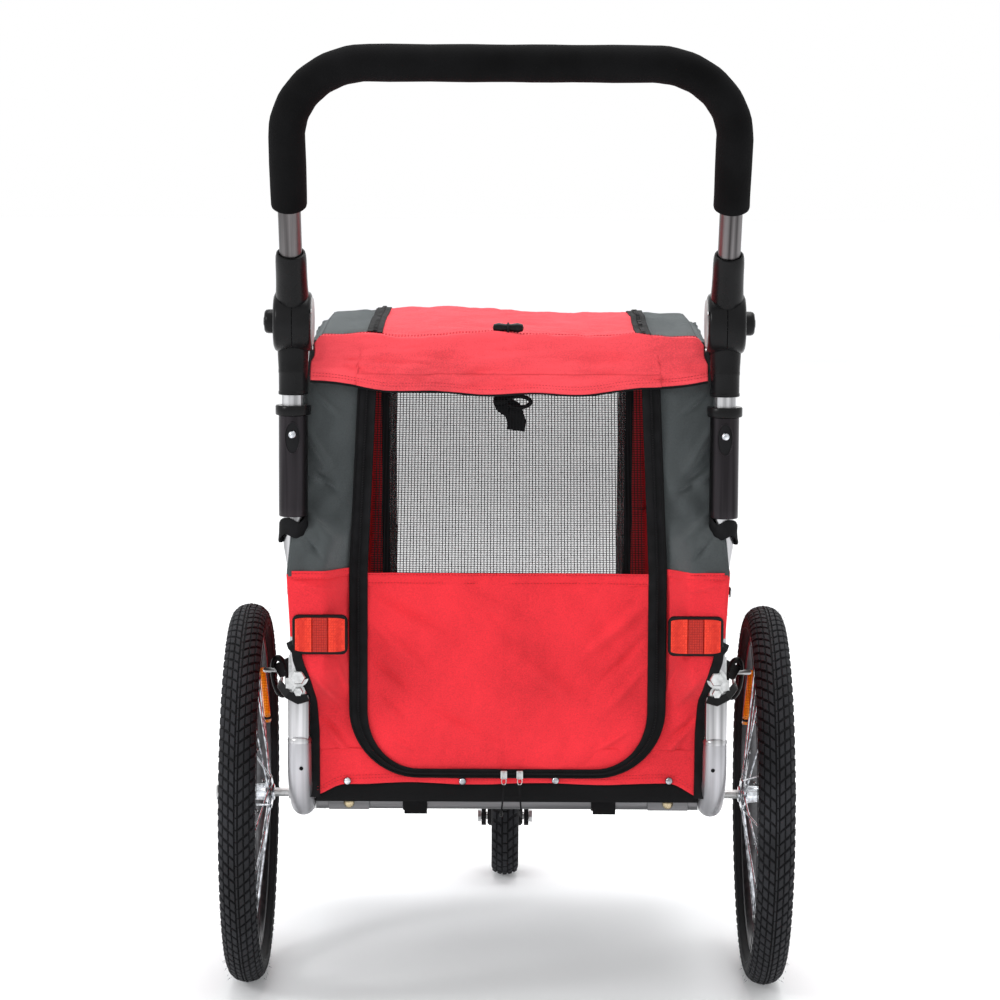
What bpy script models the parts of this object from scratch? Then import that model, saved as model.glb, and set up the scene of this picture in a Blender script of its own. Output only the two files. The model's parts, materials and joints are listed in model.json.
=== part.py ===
"""A pet stroller: folding frame, two spoked wheels, a front caster, a fabric cabin and a tilting handle.

Metres, +Z up, +Y is the way it travels, +X is right as seen from behind. The origin is on the ground.
"""

from math import atan2, cos, pi, radians, sin

import bmesh
import bpy
from mathutils import Matrix, Vector

# Driving dimensions
GAP = 0.0003
AXLE_Y = -0.1378
REAR_Y = AXLE_Y - 0.250
FRONT_Y = AXLE_Y + 0.500
WHEEL_X = 0.3425
WHEEL_R = 0.252
TYRE_W = 0.050
RIM_R = 0.214
RIM_W = 0.028
SPOKES = 20
HUB_HALF = 0.0335
FLANGE = 0.0282
AXLE_R = 0.006
AXLE_IN = 0.263
AXLE_TUBE_R = 0.009

RAIL_X = 0.259
RAIL_R = 0.015
RAIL_Z = 0.277
RAIL_TOP = 0.430
RAIL_BEND = 0.070
RAIL_REAR_Y = REAR_Y - 0.017
RAIL_FRONT_Y = FRONT_Y + 0.0205

HINGE_Z = 0.454
PIN_R = 0.005
FRAME_R = 0.011
FRAME_TOP_X = 0.225
FRAME_REAR_Z = 0.857
FRAME_CREST_Y = REAR_Y + 0.350
FRAME_CREST_Z = 0.871
FRAME_FRONT_Z = 0.788
FRAME_LEAN = 0.048
NEST = 0.032

POST_X = 0.2675
POST_Y = REAR_Y - 0.020
POST_R = 0.0125
TUBE_R = 0.014
SLEEVE_R = 0.018
SLEEVE_Z = (0.654, 0.780)
COLLAR_R = 0.022
COLLAR_H = 0.0125
SNAP_Z = 0.757
SNAP_R = 0.006

PIVOT_Z = 0.896
DRUM_R = 0.0375
DRUM_W = 0.047
SOCKET_R = 0.019
SOCKET_REACH = 0.098
HANDLE_LEAN = radians(28)
HANDLE_REACH = 0.356
HANDLE_BEND = 0.100
FOAM_R = 0.0222
FOAM_START = 0.163
BUTTON_R = 0.015

FABRIC = 0.003
PANEL_LOW = 0.240
PANEL_WIDE = 0.268
PANEL_TOP = 0.2420
NECK_Z = 0.480
SEAM_Z = 0.583
REFLECTOR_Z = 0.508
COVER_Z = 0.540
ROOF_Z = 0.875
HEM_Z = 0.311
DOOR_TOP = 0.820
DOOR_BOTTOM = 0.3275
DOOR_HALF = 0.198
DOOR_TOP_HALF = 0.187
DOOR_CORNER = 0.090
HATCH_HALF = 0.168

FLOOR_Z = 0.3035
FLOOR_T = 0.008
TUB_HALF = 0.2400
TUB_TOP = 0.432
CROSS_R = 0.010
REAR_CROSS_Z = 0.280
FRONT_CROSS_Z = 0.289
BEAM_R = 0.016
BEAM_Z = 0.262

CASTER_Y = AXLE_Y + 0.690
CASTER_TRAIL = 0.045
CASTER_R = 0.090
CASTER_W = 0.044
STEM_R = 0.011
HOUSING_R = 0.022
HOUSING_Z = 0.240

BRAKE_Y = AXLE_Y - 0.082
BRAKE_Z = 0.430
BRAKE_PIN_R = 0.0035
BRAKE_LOOP_X = 0.2910
BRACKET_W = 0.006

SIDES = (("left", -1), ("right", 1))

for old in list(bpy.data.objects):
    bpy.data.objects.remove(old)

parts = bpy.data.collections.new("pet_stroller")
cutters = bpy.data.collections.new("cutters")
for collection in (parts, cutters):
    bpy.context.scene.collection.children.link(collection)


def material(name, colour, roughness, metallic=0.0):
    """A Principled material."""
    made = bpy.data.materials.new(name)
    made.use_nodes = True
    shader = made.node_tree.nodes["Principled BSDF"]
    shader.inputs["Base Color"].default_value = (*colour, 1)
    shader.inputs["Roughness"].default_value = roughness
    shader.inputs["Metallic"].default_value = metallic
    return made


SILVER = material("silver_tube", (0.55, 0.55, 0.58), 0.35, 0.8)
ANODISED = material("dark_anodised", (0.05, 0.05, 0.055), 0.4, 0.6)
BLACK = material("black_plastic", (0.02, 0.02, 0.022), 0.45)
ZINC = material("zinc", (0.7, 0.7, 0.68), 0.3, 1.0)
GREY = material("grey_plastic", (0.35, 0.35, 0.36), 0.5)
FOAM = material("foam", (0.012, 0.012, 0.012), 0.9)
RUBBER = material("rubber", (0.03, 0.03, 0.033), 0.8)
CHROME = material("chrome", (0.8, 0.8, 0.8), 0.12, 1.0)
RED = material("red_fabric", (0.75, 0.03, 0.05), 0.8)
SLATE = material("slate_fabric", (0.10, 0.13, 0.13), 0.85)
DARK = material("black_fabric", (0.015, 0.015, 0.015), 0.9)
RED_LENS = material("red_lens", (0.8, 0.03, 0.01), 0.2)
ORANGE = material("orange_lens", (0.95, 0.35, 0.01), 0.2)


def link(ob, mat):
    """Puts a part in the parts with its material, and a cutter, which has none, in the cutters."""
    (parts if mat else cutters).objects.link(ob)
    if mat:
        ob.data.materials.append(mat)
    return ob


def smooth(ob, angle=35):
    """Smooth shading with sharp edges kept."""
    ob.data.shade_smooth()
    ob.data.set_sharp_from_angle(angle=radians(angle))
    return ob


def from_bmesh(name, bm, mat):
    """An object from a bmesh."""
    mesh = bpy.data.meshes.new(name)
    bm.to_mesh(mesh)
    bm.free()
    return link(bpy.data.objects.new(name, mesh), mat)


def box(name, size, at, mat, turn=(0, 0, 0)):
    """A box by its full size and centre."""
    bm = bmesh.new()
    bmesh.ops.create_cube(bm, size=1, matrix=Matrix.Diagonal((*size, 1)))
    ob = from_bmesh(name, bm, mat)
    ob.location = at
    ob.rotation_euler = turn
    return ob


AXIS_TURN = {"X": (0, pi / 2, 0), "Y": (-pi / 2, 0, 0), "Z": (0, 0, 0)}


def cylinder(name, radius, length, at, mat, axis="Z", sides=24, tip=None):
    """A cylinder, or a cone with the tip radius, centred on a point."""
    bm = bmesh.new()
    end = radius if tip is None else tip
    bmesh.ops.create_cone(bm, cap_ends=True, segments=sides, radius1=radius, radius2=end, depth=length)
    ob = from_bmesh(name, bm, mat)
    ob.location = at
    ob.rotation_euler = AXIS_TURN[axis]
    return smooth(ob)


def to_mesh(ob):
    """Turns a curve into a mesh object of the same name with its caps welded."""
    bpy.context.view_layer.update()
    mesh = bpy.data.meshes.new_from_object(ob.evaluated_get(bpy.context.evaluated_depsgraph_get()))
    bm = bmesh.new()
    bm.from_mesh(mesh)
    bmesh.ops.remove_doubles(bm, verts=bm.verts, dist=0.00001)
    bmesh.ops.recalc_face_normals(bm, faces=bm.faces)
    bm.to_mesh(mesh)
    bm.free()
    name, world = ob.name, ob.matrix_world.copy()
    bpy.data.objects.remove(ob)
    solid = bpy.data.objects.new(name, mesh)
    solid.matrix_world = world
    parts.objects.link(solid)
    return smooth(solid)


def tube(name, points, radius, mat, resolution=3, at=(0, 0, 0)):
    """A round tube along a line of points, as a solid mesh."""
    curve = bpy.data.curves.new(name, "CURVE")
    curve.dimensions = "3D"
    curve.bevel_depth = radius
    curve.bevel_resolution = resolution
    curve.use_fill_caps = True
    line = curve.splines.new("POLY")
    line.points.add(len(points) - 1)
    for point, where in zip(line.points, points):
        point.co = (*where, 1)
    ob = link(bpy.data.objects.new(name, curve), mat)
    ob.location = at
    return to_mesh(ob)


def outline(name, loops, thickness, mat, at=(0, 0, 0), turn=(pi / 2, 0, 0)):
    """A flat piece from its outline and any holes, extruded by its thickness, standing in XZ."""
    curve = bpy.data.curves.new(name, "CURVE")
    curve.dimensions = "2D"
    curve.fill_mode = "BOTH"
    curve.extrude = thickness / 2
    for loop in loops:
        line = curve.splines.new("POLY")
        line.points.add(len(loop) - 1)
        for point, where in zip(line.points, loop):
            point.co = (*where, 0, 1)
        line.use_cyclic_u = True
    ob = link(bpy.data.objects.new(name, curve), mat)
    ob.location = at
    ob.rotation_euler = turn
    return to_mesh(ob)


def turned(name, profile, at, mat, axis="X", steps=40):
    """A turned solid: a closed profile of (radius, along) points, going down the outer side first."""
    bm = bmesh.new()
    ring = [bm.verts.new((r, 0, z)) for r, z in profile]
    for a, b in zip(ring, ring[1:] + ring[:1]):
        bm.edges.new((a, b))
    ob = from_bmesh(name, bm, mat)
    screw = ob.modifiers.new("turn", "SCREW")
    screw.steps = steps
    screw.render_steps = steps
    screw.use_merge_vertices = True
    screw.merge_threshold = 0.00001
    ob.location = at
    ob.rotation_euler = AXIS_TURN[axis]
    return ob


def baked(ob):
    """Applies an object's modifiers."""
    bpy.context.view_layer.update()
    mesh = bpy.data.meshes.new_from_object(ob.evaluated_get(bpy.context.evaluated_depsgraph_get()))
    ob.modifiers.clear()
    ob.data = mesh
    return ob


def combine(ob, other, operation):
    """Cuts with, or joins on, another mesh object, which is then removed."""
    bpy.context.view_layer.update()
    step = ob.modifiers.new(operation.lower(), "BOOLEAN")
    step.operation = operation
    step.object = other
    step.solver = "EXACT"
    baked(ob)
    bpy.data.objects.remove(other)
    return ob


def cut(ob, *others):
    """Cuts each of the others out of an object."""
    for other in others:
        combine(ob, other, "DIFFERENCE")
    return smooth(ob)


def join(ob, *others):
    """Joins each of the others onto an object."""
    for other in others:
        combine(ob, other, "UNION")
    return smooth(ob)


def place_origin(ob, at):
    """Moves an object's origin to a point, such as its joint's axis, without moving its shape."""
    bpy.context.view_layer.update()
    ob.data.transform(Matrix.Translation(-Vector(at)) @ ob.matrix_world)
    ob.matrix_world = Matrix.Translation(at)
    return ob


def rounded(points, radius, steps=6):
    """A line of points with an arc of the radius at each inner corner."""
    made = [Vector(points[0])]
    for before, corner, after in zip(points, points[1:], points[2:]):
        here = Vector(corner)
        back = (Vector(before) - here).normalized()
        on = (Vector(after) - here).normalized()
        half = back.angle(on) / 2
        middle = here + (back + on).normalized() * radius / sin(half)
        reach = radius / (sin(half) / cos(half))
        first = (here + back * reach - middle).normalized()
        last = (here + on * reach - middle).normalized()
        made += [middle + first.slerp(last, k / steps) * radius for k in range(steps + 1)]
    made.append(Vector(points[-1]))
    return [tuple(point) for point in made]


def arc(centre, radius, start, end, steps=8):
    """Points on a 2D arc, with angles in degrees."""
    turns = [radians(start + (end - start) * k / steps) for k in range(steps + 1)]
    return [(centre[0] + radius * cos(t), centre[1] + radius * sin(t)) for t in turns]


# ---------------------------------------------------------------- base frame
def side_rail(side, s):
    """A tube along the floor with both ends bent up to the hinges."""
    line = [
        (s * RAIL_X, RAIL_REAR_Y, RAIL_TOP),
        (s * RAIL_X, RAIL_REAR_Y, RAIL_Z),
        (s * RAIL_X, RAIL_FRONT_Y, RAIL_Z),
        (s * RAIL_X, RAIL_FRONT_Y, RAIL_TOP),
    ]
    rail = tube(f"side_rail_{side}", rounded(line, RAIL_BEND), RAIL_R, SILVER)
    x = s * (RAIL_X + RAIL_R)
    low, high = RAIL_Z - BRACKET_W, BRAKE_Z + 0.018
    join(rail, box("bracket", (BRACKET_W, 0.030, high - low), (x, BRAKE_Y, (low + high) / 2), ZINC))
    cut(rail, cylinder("pin_bore", BRAKE_PIN_R + GAP, 0.030, (x, BRAKE_Y, BRAKE_Z), None, "X", 16))


def cross_members():
    """The tubes from rail to rail, the axle tube under the rails, and the beam that carries the caster."""
    half = RAIL_X - RAIL_R - GAP
    for end, y, z in (("rear", REAR_Y + 0.055, REAR_CROSS_Z), ("front", FRONT_Y - 0.060, FRONT_CROSS_Z)):
        cylinder(f"{end}_cross_tube", CROSS_R, 2 * half, (0, y, z), SILVER, "X", 16)
    axle_tube = cylinder("axle_tube", AXLE_TUBE_R, 0.580, (0, AXLE_Y, WHEEL_R), ZINC, "X", 16)
    saddle = Vector((0.024, 0.040, 0.028))
    top = RAIL_Z - RAIL_R - 0.0005
    for side, s in SIDES:
        at = (s * (RAIL_X - 0.007), AXLE_Y, top - saddle.z / 2)
        join(axle_tube, box(f"saddle_{side}", saddle, at, ZINC))
    start = AXLE_Y + AXLE_TUBE_R + GAP
    neck = CASTER_Y - HOUSING_R - GAP
    line = [(0, start, BEAM_Z), (0, FRONT_Y + 0.010, BEAM_Z), (0, neck, HOUSING_Z + 0.005)]
    beam = tube("front_beam", rounded(line, 0.05), BEAM_R, SILVER)
    housing = cylinder("caster_housing", HOUSING_R, 0.060, (0, CASTER_Y, HOUSING_Z), BLACK)
    cut(housing, cylinder("stem_bore", STEM_R + GAP, 0.080, (0, CASTER_Y, HOUSING_Z), None))
    for s in (-1, 1):
        cut(axle_tube, cylinder("axle_bore", AXLE_R + GAP, 0.060, (s * 0.290, AXLE_Y, WHEEL_R), None, "X"))
    cut(beam, cylinder("housing_clear", HOUSING_R + GAP, 0.080, (0, CASTER_Y, HOUSING_Z), None))


def posts_and_sleeves(side, s):
    """The rear post with its two bolt heads, and the sleeve and collar at its top."""
    x = s * POST_X
    low = RAIL_TOP + GAP
    high = SLEEVE_Z[0] + 0.010
    post = cylinder(f"handle_post_{side}", POST_R, high - low, (x, POST_Y, (low + high) / 2), SILVER)
    for z, r in ((HINGE_Z, 0.0085), (HINGE_Z - 0.018, 0.0060)):
        join(post, cylinder("bolt", r, 0.022, (s * RAIL_X, POST_Y - 0.010, z), ZINC, "Y", 6))
    z = sum(SLEEVE_Z) / 2
    tall = SLEEVE_Z[1] - SLEEVE_Z[0]
    sleeve = cylinder(f"sleeve_{side}", SLEEVE_R, tall, (x, POST_Y, z), ANODISED, sides=32)
    cut(sleeve, cylinder("bore", TUBE_R + 0.0006, 0.2, (x, POST_Y, z), None, sides=32))
    cut(sleeve, cylinder("hole", SNAP_R + GAP, 0.02, (x, POST_Y - SLEEVE_R, SNAP_Z), None, "Y", 20))
    collar_z = SLEEVE_Z[1] + GAP + COLLAR_H / 2
    collar = cylinder(f"sleeve_collar_{side}", COLLAR_R, COLLAR_H, (x, POST_Y, collar_z), BLACK, sides=32)
    cut(collar, cylinder("bore", TUBE_R + 0.0006, 0.1, (x, POST_Y, collar_z), None, sides=32))
    ball = cylinder(
        f"snap_button_{side}", SNAP_R, 0.0068, (x, POST_Y - 0.0186, SNAP_Z), ZINC, "Y", 20, tip=SNAP_R * 0.55
    )
    ball.rotation_euler = (pi / 2, 0, 0)


def hinge_bracket(side, s, end, y, way, reach):
    """A plate at the top of a rail's end with the pivot pin of the folding side frame."""
    plate = box(f"{end}_hinge_{side}", (0.032, 0.0062, 0.056), (s * RAIL_X, y, HINGE_Z - 0.006), ZINC)
    pin = cylinder("pin", PIN_R, reach, (s * RAIL_X, y + way * reach / 2, HINGE_Z), ZINC, "Y", 16)
    join(plate, pin)


# ---------------------------------------------------------------- folding side frames
def frame_line(s, nest):
    """The centre line of a side frame: rear upright, top rail with its crest, and leaning front upright."""
    rear = REAR_Y + 0.016 + nest
    front = FRONT_Y - 0.016 - nest
    top = s * FRAME_TOP_X
    run = FRONT_Y - FRAME_LEAN - FRAME_CREST_Y
    front_z = FRAME_CREST_Z + (FRAME_FRONT_Z - FRAME_CREST_Z) * (front - FRAME_LEAN - FRAME_CREST_Y) / run
    return [
        (s * RAIL_X, rear, HINGE_Z + 0.010),
        (top, rear, FRAME_REAR_Z),
        (top, FRAME_CREST_Y, FRAME_CREST_Z),
        (top, front - FRAME_LEAN, front_z),
        (s * RAIL_X, front, HINGE_Z + 0.010),
    ]


def side_frame(side, s):
    """An inverted U of tube that folds inward about two hinge eyes; the left nests inside the right."""
    nest = NEST if s < 0 else 0.0
    line = frame_line(s, nest)
    frame = tube(f"side_frame_{side}", rounded(line, 0.045, 5), FRAME_R, SILVER)
    for y in (line[0][1], line[-1][1]):
        join(frame, cylinder("eye", 0.0125, 0.021, (s * RAIL_X, y, HINGE_Z), ZINC, "Y", 20))
    for y in (line[0][1], line[-1][1]):
        cut(frame, cylinder("eye_bore", PIN_R + GAP, 0.030, (s * RAIL_X, y, HINGE_Z), None, "Y", 16))
    place_origin(frame, (s * RAIL_X, 0, HINGE_Z))


def side_panel(side, s):
    """The fabric side of the cabin, outside its frame, leaning in with it."""
    lean = atan2(RAIL_X - FRAME_TOP_X, FRAME_REAR_Z - HINGE_Z)
    stretch = 1 / cos(lean)
    rise = [
        (REAR_Y + 0.002, 0.026),
        (REAR_Y + 0.002, (FRAME_REAR_Z - HINGE_Z + 0.010) * stretch),
        (FRAME_CREST_Y, (FRAME_CREST_Z - HINGE_Z + 0.010) * stretch),
        (FRONT_Y - FRAME_LEAN - 0.010, (FRAME_FRONT_Z - HINGE_Z + 0.010) * stretch),
        (FRONT_Y - 0.008, 0.026),
    ]
    panel = outline(f"side_panel_{side}", [rise], FABRIC, SLATE, turn=(pi / 2, 0, pi / 2))
    panel.rotation_mode = "XYZ"
    away = FRAME_R + 0.0020 + FABRIC / 2
    tilt = Matrix.Rotation(-s * lean, 4, "Y")
    shift = Matrix.Translation((s * RAIL_X, 0, HINGE_Z)) @ tilt @ Matrix.Translation((s * away, 0, 0))
    panel.matrix_world = shift @ panel.matrix_world
    place_origin(panel, (s * RAIL_X, 0, HINGE_Z))


# ---------------------------------------------------------------- fabric
def cabin_outline(top_half, top, low):
    """The rear panel's outline: narrow between the hinges, wide above them, and narrowing to the roof."""
    right = [
        (PANEL_LOW - 0.004, low),
        (PANEL_LOW, NECK_Z),
        (PANEL_WIDE - 0.008, NECK_Z + 0.014),
        (PANEL_WIDE, SEAM_Z),
        (top_half, top),
    ]
    return right + [(-x, z) for x, z in reversed(right)]


def door_outline(half, top_half, top, bottom, corner):
    """A flap with rounded lower corners."""
    right = arc((half - corner, bottom + corner), corner, -90, 0)
    left = [(-x, z) for x, z in reversed(right)]
    return left + right + [(top_half, top), (-top_half, top)]


def widened(loop, by, middle):
    """An outline grown by a margin away from a middle point."""
    return [(x + (by if x > 0 else -by), z + (by if z > middle else -by)) for x, z in loop]


def rear_wall():
    """The rear panel around the rear door, and the door hanging from its top edge."""
    door = door_outline(DOOR_HALF, DOOR_TOP_HALF, DOOR_TOP, DOOR_BOTTOM, DOOR_CORNER)
    hole = widened(door, 0.001, 0.5)
    panel_loop = cabin_outline(PANEL_TOP, ROOF_Z - 0.010, HEM_Z + 0.002)
    y = REAR_Y - 0.0005
    panel = outline("rear_panel", [panel_loop, hole], FABRIC, RED, at=(0, y, 0))
    back = POST_Y - POST_R - 0.0035
    for side, s in SIDES:
        span = (REAR_Y - back, PANEL_WIDE - 0.2010)
        at = (s * (PANEL_WIDE - 0.0005 - span[1] / 2), back + span[0] / 2, COVER_Z)
        cover = box("post_cover", (span[1], span[0], 0.110), at, None)
        cut(cover, cylinder("post_space", POST_R + 0.0008, 0.2, (s * POST_X, POST_Y, COVER_Z), None))
        join(panel, cover)
    flap = outline("rear_door", [door], FABRIC, RED, at=(0, y, 0))
    place_origin(flap, (0, y, DOOR_TOP))
    for side, s in SIDES:
        spot = (s * 0.2335, back - 0.0033, REFLECTOR_Z)
        lens = box(f"rear_reflector_{side}", (0.068, 0.006, 0.050), spot, RED_LENS)
        lens.modifiers.new("edge", "BEVEL").width = 0.001


def front_wall():
    """The leaning front panel with its door."""
    lean = atan2(FRAME_LEAN, FRAME_FRONT_Z - HINGE_Z)
    out = 0.0155
    base = Vector((0, FRONT_Y - 0.016 + out, HINGE_Z))
    turn = (pi / 2 + lean, 0, 0)
    rise = (FRAME_FRONT_Z - HINGE_Z) / cos(lean)
    door = door_outline(0.163, 0.150, rise - 0.020, 0.030, 0.050)
    hole = widened(door, 0.001, 0.2)
    right = [(0.236, 0.014), (0.238, 0.034), (0.262, 0.046), (0.240, rise - 0.008)]
    loop = right + [(-x, z) for x, z in reversed(right)]
    outline("front_panel", [loop, hole], FABRIC, RED, at=base, turn=turn)
    flap = outline("front_door", [door], FABRIC, DARK, at=base, turn=turn)
    top = base + Matrix.Rotation(lean, 3, "X") @ Vector((0, 0, rise - 0.020))
    place_origin(flap, top)


def roof_line(start, end):
    """The roof's underside as (y, z) points between two places along it."""
    knots = [
        (REAR_Y - 0.002, FRAME_REAR_Z + 0.0125),
        (FRAME_CREST_Y, FRAME_CREST_Z + 0.0125),
        (FRONT_Y - FRAME_LEAN + 0.002, FRAME_FRONT_Z + 0.0150),
    ]

    def height(y):
        a, b = (knots[0], knots[1]) if y < FRAME_CREST_Y else (knots[1], knots[2])
        return a[1] + (b[1] - a[1]) * (y - a[0]) / (b[0] - a[0])

    ends = [(start, height(start)), (FRAME_CREST_Y, height(FRAME_CREST_Y)), (end, height(end))]
    return ends + [(y, z + FABRIC) for y, z in reversed(ends)]


def roof():
    """The roof with its hatch, which opens from the front and folds back over its rear edge."""
    rear, front = REAR_Y - 0.002, FRONT_Y - FRAME_LEAN + 0.002
    panel = outline("roof_panel", [roof_line(rear, front)], 2 * PANEL_TOP, SLATE, turn=(pi / 2, 0, pi / 2))
    hatch_rear, hatch_front = REAR_Y + 0.022, FRONT_Y - 0.150
    opening = box(
        "opening",
        (2 * HATCH_HALF + 0.002, hatch_front - hatch_rear + 0.002, 0.3),
        (0, (hatch_rear + hatch_front) / 2, FRAME_CREST_Z),
        None,
    )
    cut(panel, opening)
    shape = roof_line(hatch_rear, hatch_front)
    hatch = outline("roof_hatch", [shape], 2 * HATCH_HALF, RED, turn=(pi / 2, 0, pi / 2))
    place_origin(hatch, (0, hatch_rear, shape[0][1] + FABRIC / 2))


def tub():
    """The fabric tub: a closed floor and four low walls, with the floor board lying in it."""
    low = FLOOR_Z - 0.0035
    rear, front = REAR_Y + 0.0045, FRONT_Y - 0.008
    size = (2 * TUB_HALF, front - rear, TUB_TOP - low)
    middle = (0, (rear + front) / 2, (low + TUB_TOP) / 2)
    shell = box("tub_cover", size, middle, DARK)
    inner = (size[0] - 2 * FABRIC, size[1] - 2 * FABRIC, size[2])
    cut(shell, box("inside", inner, (0, middle[1], middle[2] + FABRIC), None))
    board = (size[0] - 0.020, size[1] - 0.020, FLOOR_T)
    box("floor_board", board, (0, middle[1], FLOOR_Z + FLOOR_T / 2), BLACK)


# ---------------------------------------------------------------- wheels
def rear_wheel(side, s):
    """A spoked wheel: tyre, rim, hub with its spokes, spoke reflector and fixed axle."""
    x, z = s * WHEEL_X, WHEEL_R
    half = TYRE_W / 2
    at = (x, AXLE_Y, z)
    tread = [(WHEEL_R - 0.014, half * 0.98), (WHEEL_R - 0.004, half * 0.62), (WHEEL_R, half * 0.2)]
    bead = [(WHEEL_R - 0.030, half * 0.92), (RIM_R + GAP, RIM_W / 2)]
    outer = bead[::-1] + tread
    profile = outer + [(r, -w) for r, w in reversed(outer)]
    turned(f"rear_tyre_{side}", profile, at, RUBBER, steps=48)
    edge, well = RIM_W / 2, RIM_W * 0.32
    rim = [(RIM_R, edge), (RIM_R, -edge), (RIM_R - 0.010, -well), (RIM_R - 0.010, well)]
    turned(f"rear_rim_{side}", rim, at, GREY, steps=48)
    shell = [(0.010, HUB_HALF), (0.021, 0.0300), (0.021, 0.0265), (0.012, 0.0240)]
    shell += [(r, -w) for r, w in reversed(shell)]
    core = [(AXLE_R + GAP, -HUB_HALF), (AXLE_R + GAP, HUB_HALF)]
    hub = baked(turned(f"rear_hub_{side}", shell + core, at, CHROME))
    reach = RIM_R - 0.0115
    for k in range(SPOKES):
        turn = 2 * pi * k / SPOKES
        flange = FLANGE if k % 2 else -FLANGE
        spoke = cylinder("spoke", 0.0014, 1, (0, 0, 0), CHROME, sides=6)
        foot = Vector((x + flange, AXLE_Y + 0.016 * sin(turn), z + 0.016 * cos(turn)))
        tip = Vector((x + flange * 0.1, AXLE_Y + reach * sin(turn), z + reach * cos(turn)))
        way = tip - foot
        aim = way.to_track_quat("Z", "Y").to_matrix().to_4x4()
        spoke.data.transform(Matrix.Diagonal((1, 1, way.length, 1)))
        spoke.matrix_world = Matrix.Translation((foot + tip) / 2) @ aim
        join(hub, spoke)
    aim, out = -radians(40), 0.150
    slope = atan2(0.9 * FLANGE, reach - 0.016)
    inboard = FLANGE * (1 - 0.9 * (out - 0.016) / (reach - 0.016)) + 0.004
    spot = (x - s * inboard, AXLE_Y - out * sin(aim), z + out * cos(aim))
    glow = box(f"spoke_reflector_{side}", (0.0035, 0.022, 0.070), spot, ORANGE, (aim, 0, 0))
    glow.data.transform(Matrix.Rotation(s * slope, 4, "Y"))
    nut_x = WHEEL_X + HUB_HALF + 0.006
    axle = cylinder(
        f"axle_{side}", AXLE_R, nut_x - AXLE_IN, (s * (nut_x + AXLE_IN) / 2, AXLE_Y, z), ZINC, "X", 20
    )
    join(axle, cylinder("nut", 0.011, 0.010, (s * nut_x, AXLE_Y, z), ZINC, "X", 6))


def front_wheel():
    """The caster: a fork with its stem, and the wheel between its legs."""
    y, z = CASTER_Y - CASTER_TRAIL, CASTER_R
    half = CASTER_W / 2
    outer = [(0.066 + GAP, half * 0.8), (0.076, half), (0.087, half * 0.7), (CASTER_R, half * 0.25)]
    turned("front_tyre", outer + [(r, -w) for r, w in reversed(outer)], (0, y, z), RUBBER, steps=36)
    hub = [
        (0.066, half * 0.8),
        (0.066, -half * 0.8),
        (0.056, -half * 0.6),
        (0.022, -half * 0.5),
        (0.014, -0.0270),
        (AXLE_R + GAP, -0.0270),
        (AXLE_R + GAP, 0.0270),
        (0.014, 0.0270),
        (0.022, half * 0.5),
        (0.056, half * 0.6),
    ]
    turned("front_hub", hub, (0, y, z), BLACK, steps=36)
    axle = cylinder("front_axle", AXLE_R, 0.078, (0, y, z), ZINC, "X", 20)
    for s in (-1, 1):
        join(axle, cylinder("nut", 0.010, 0.005, (s * 0.0390, y, z), ZINC, "X", 6))
    crown = box("caster_fork", (0.078, 0.050, 0.012), (0, CASTER_Y - 0.010, 0.2020), BLACK)
    join(crown, cylinder("stem", STEM_R, 0.068, (0, CASTER_Y, HOUSING_Z - 0.001), ZINC))
    tall = 0.2080 - z
    top = tall - 0.006
    leg = arc((0, 0), 0.015, 180, 360)[:-1]
    leg += [(0.015, 0.004), (CASTER_TRAIL + 0.014, top), (CASTER_TRAIL - 0.030, top)]
    for s in (-1, 1):
        arm = outline("arm", [leg], 0.007, BLACK, (s * 0.0325, y, z), (pi / 2, 0, pi / 2))
        join(crown, arm)
        cut(crown, cylinder("dropout", AXLE_R + GAP, 0.020, (s * 0.0325, y, z), None, "X", 20))
    place_origin(crown, (0, CASTER_Y, HOUSING_Z))


# ---------------------------------------------------------------- handle
def lean_point(reach, side_x=0.0):
    """A point on the leaning handle, at a distance from its pivot."""
    return Vector((side_x, POST_Y - reach * sin(HANDLE_LEAN), PIVOT_Z + reach * cos(HANDLE_LEAN)))


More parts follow.
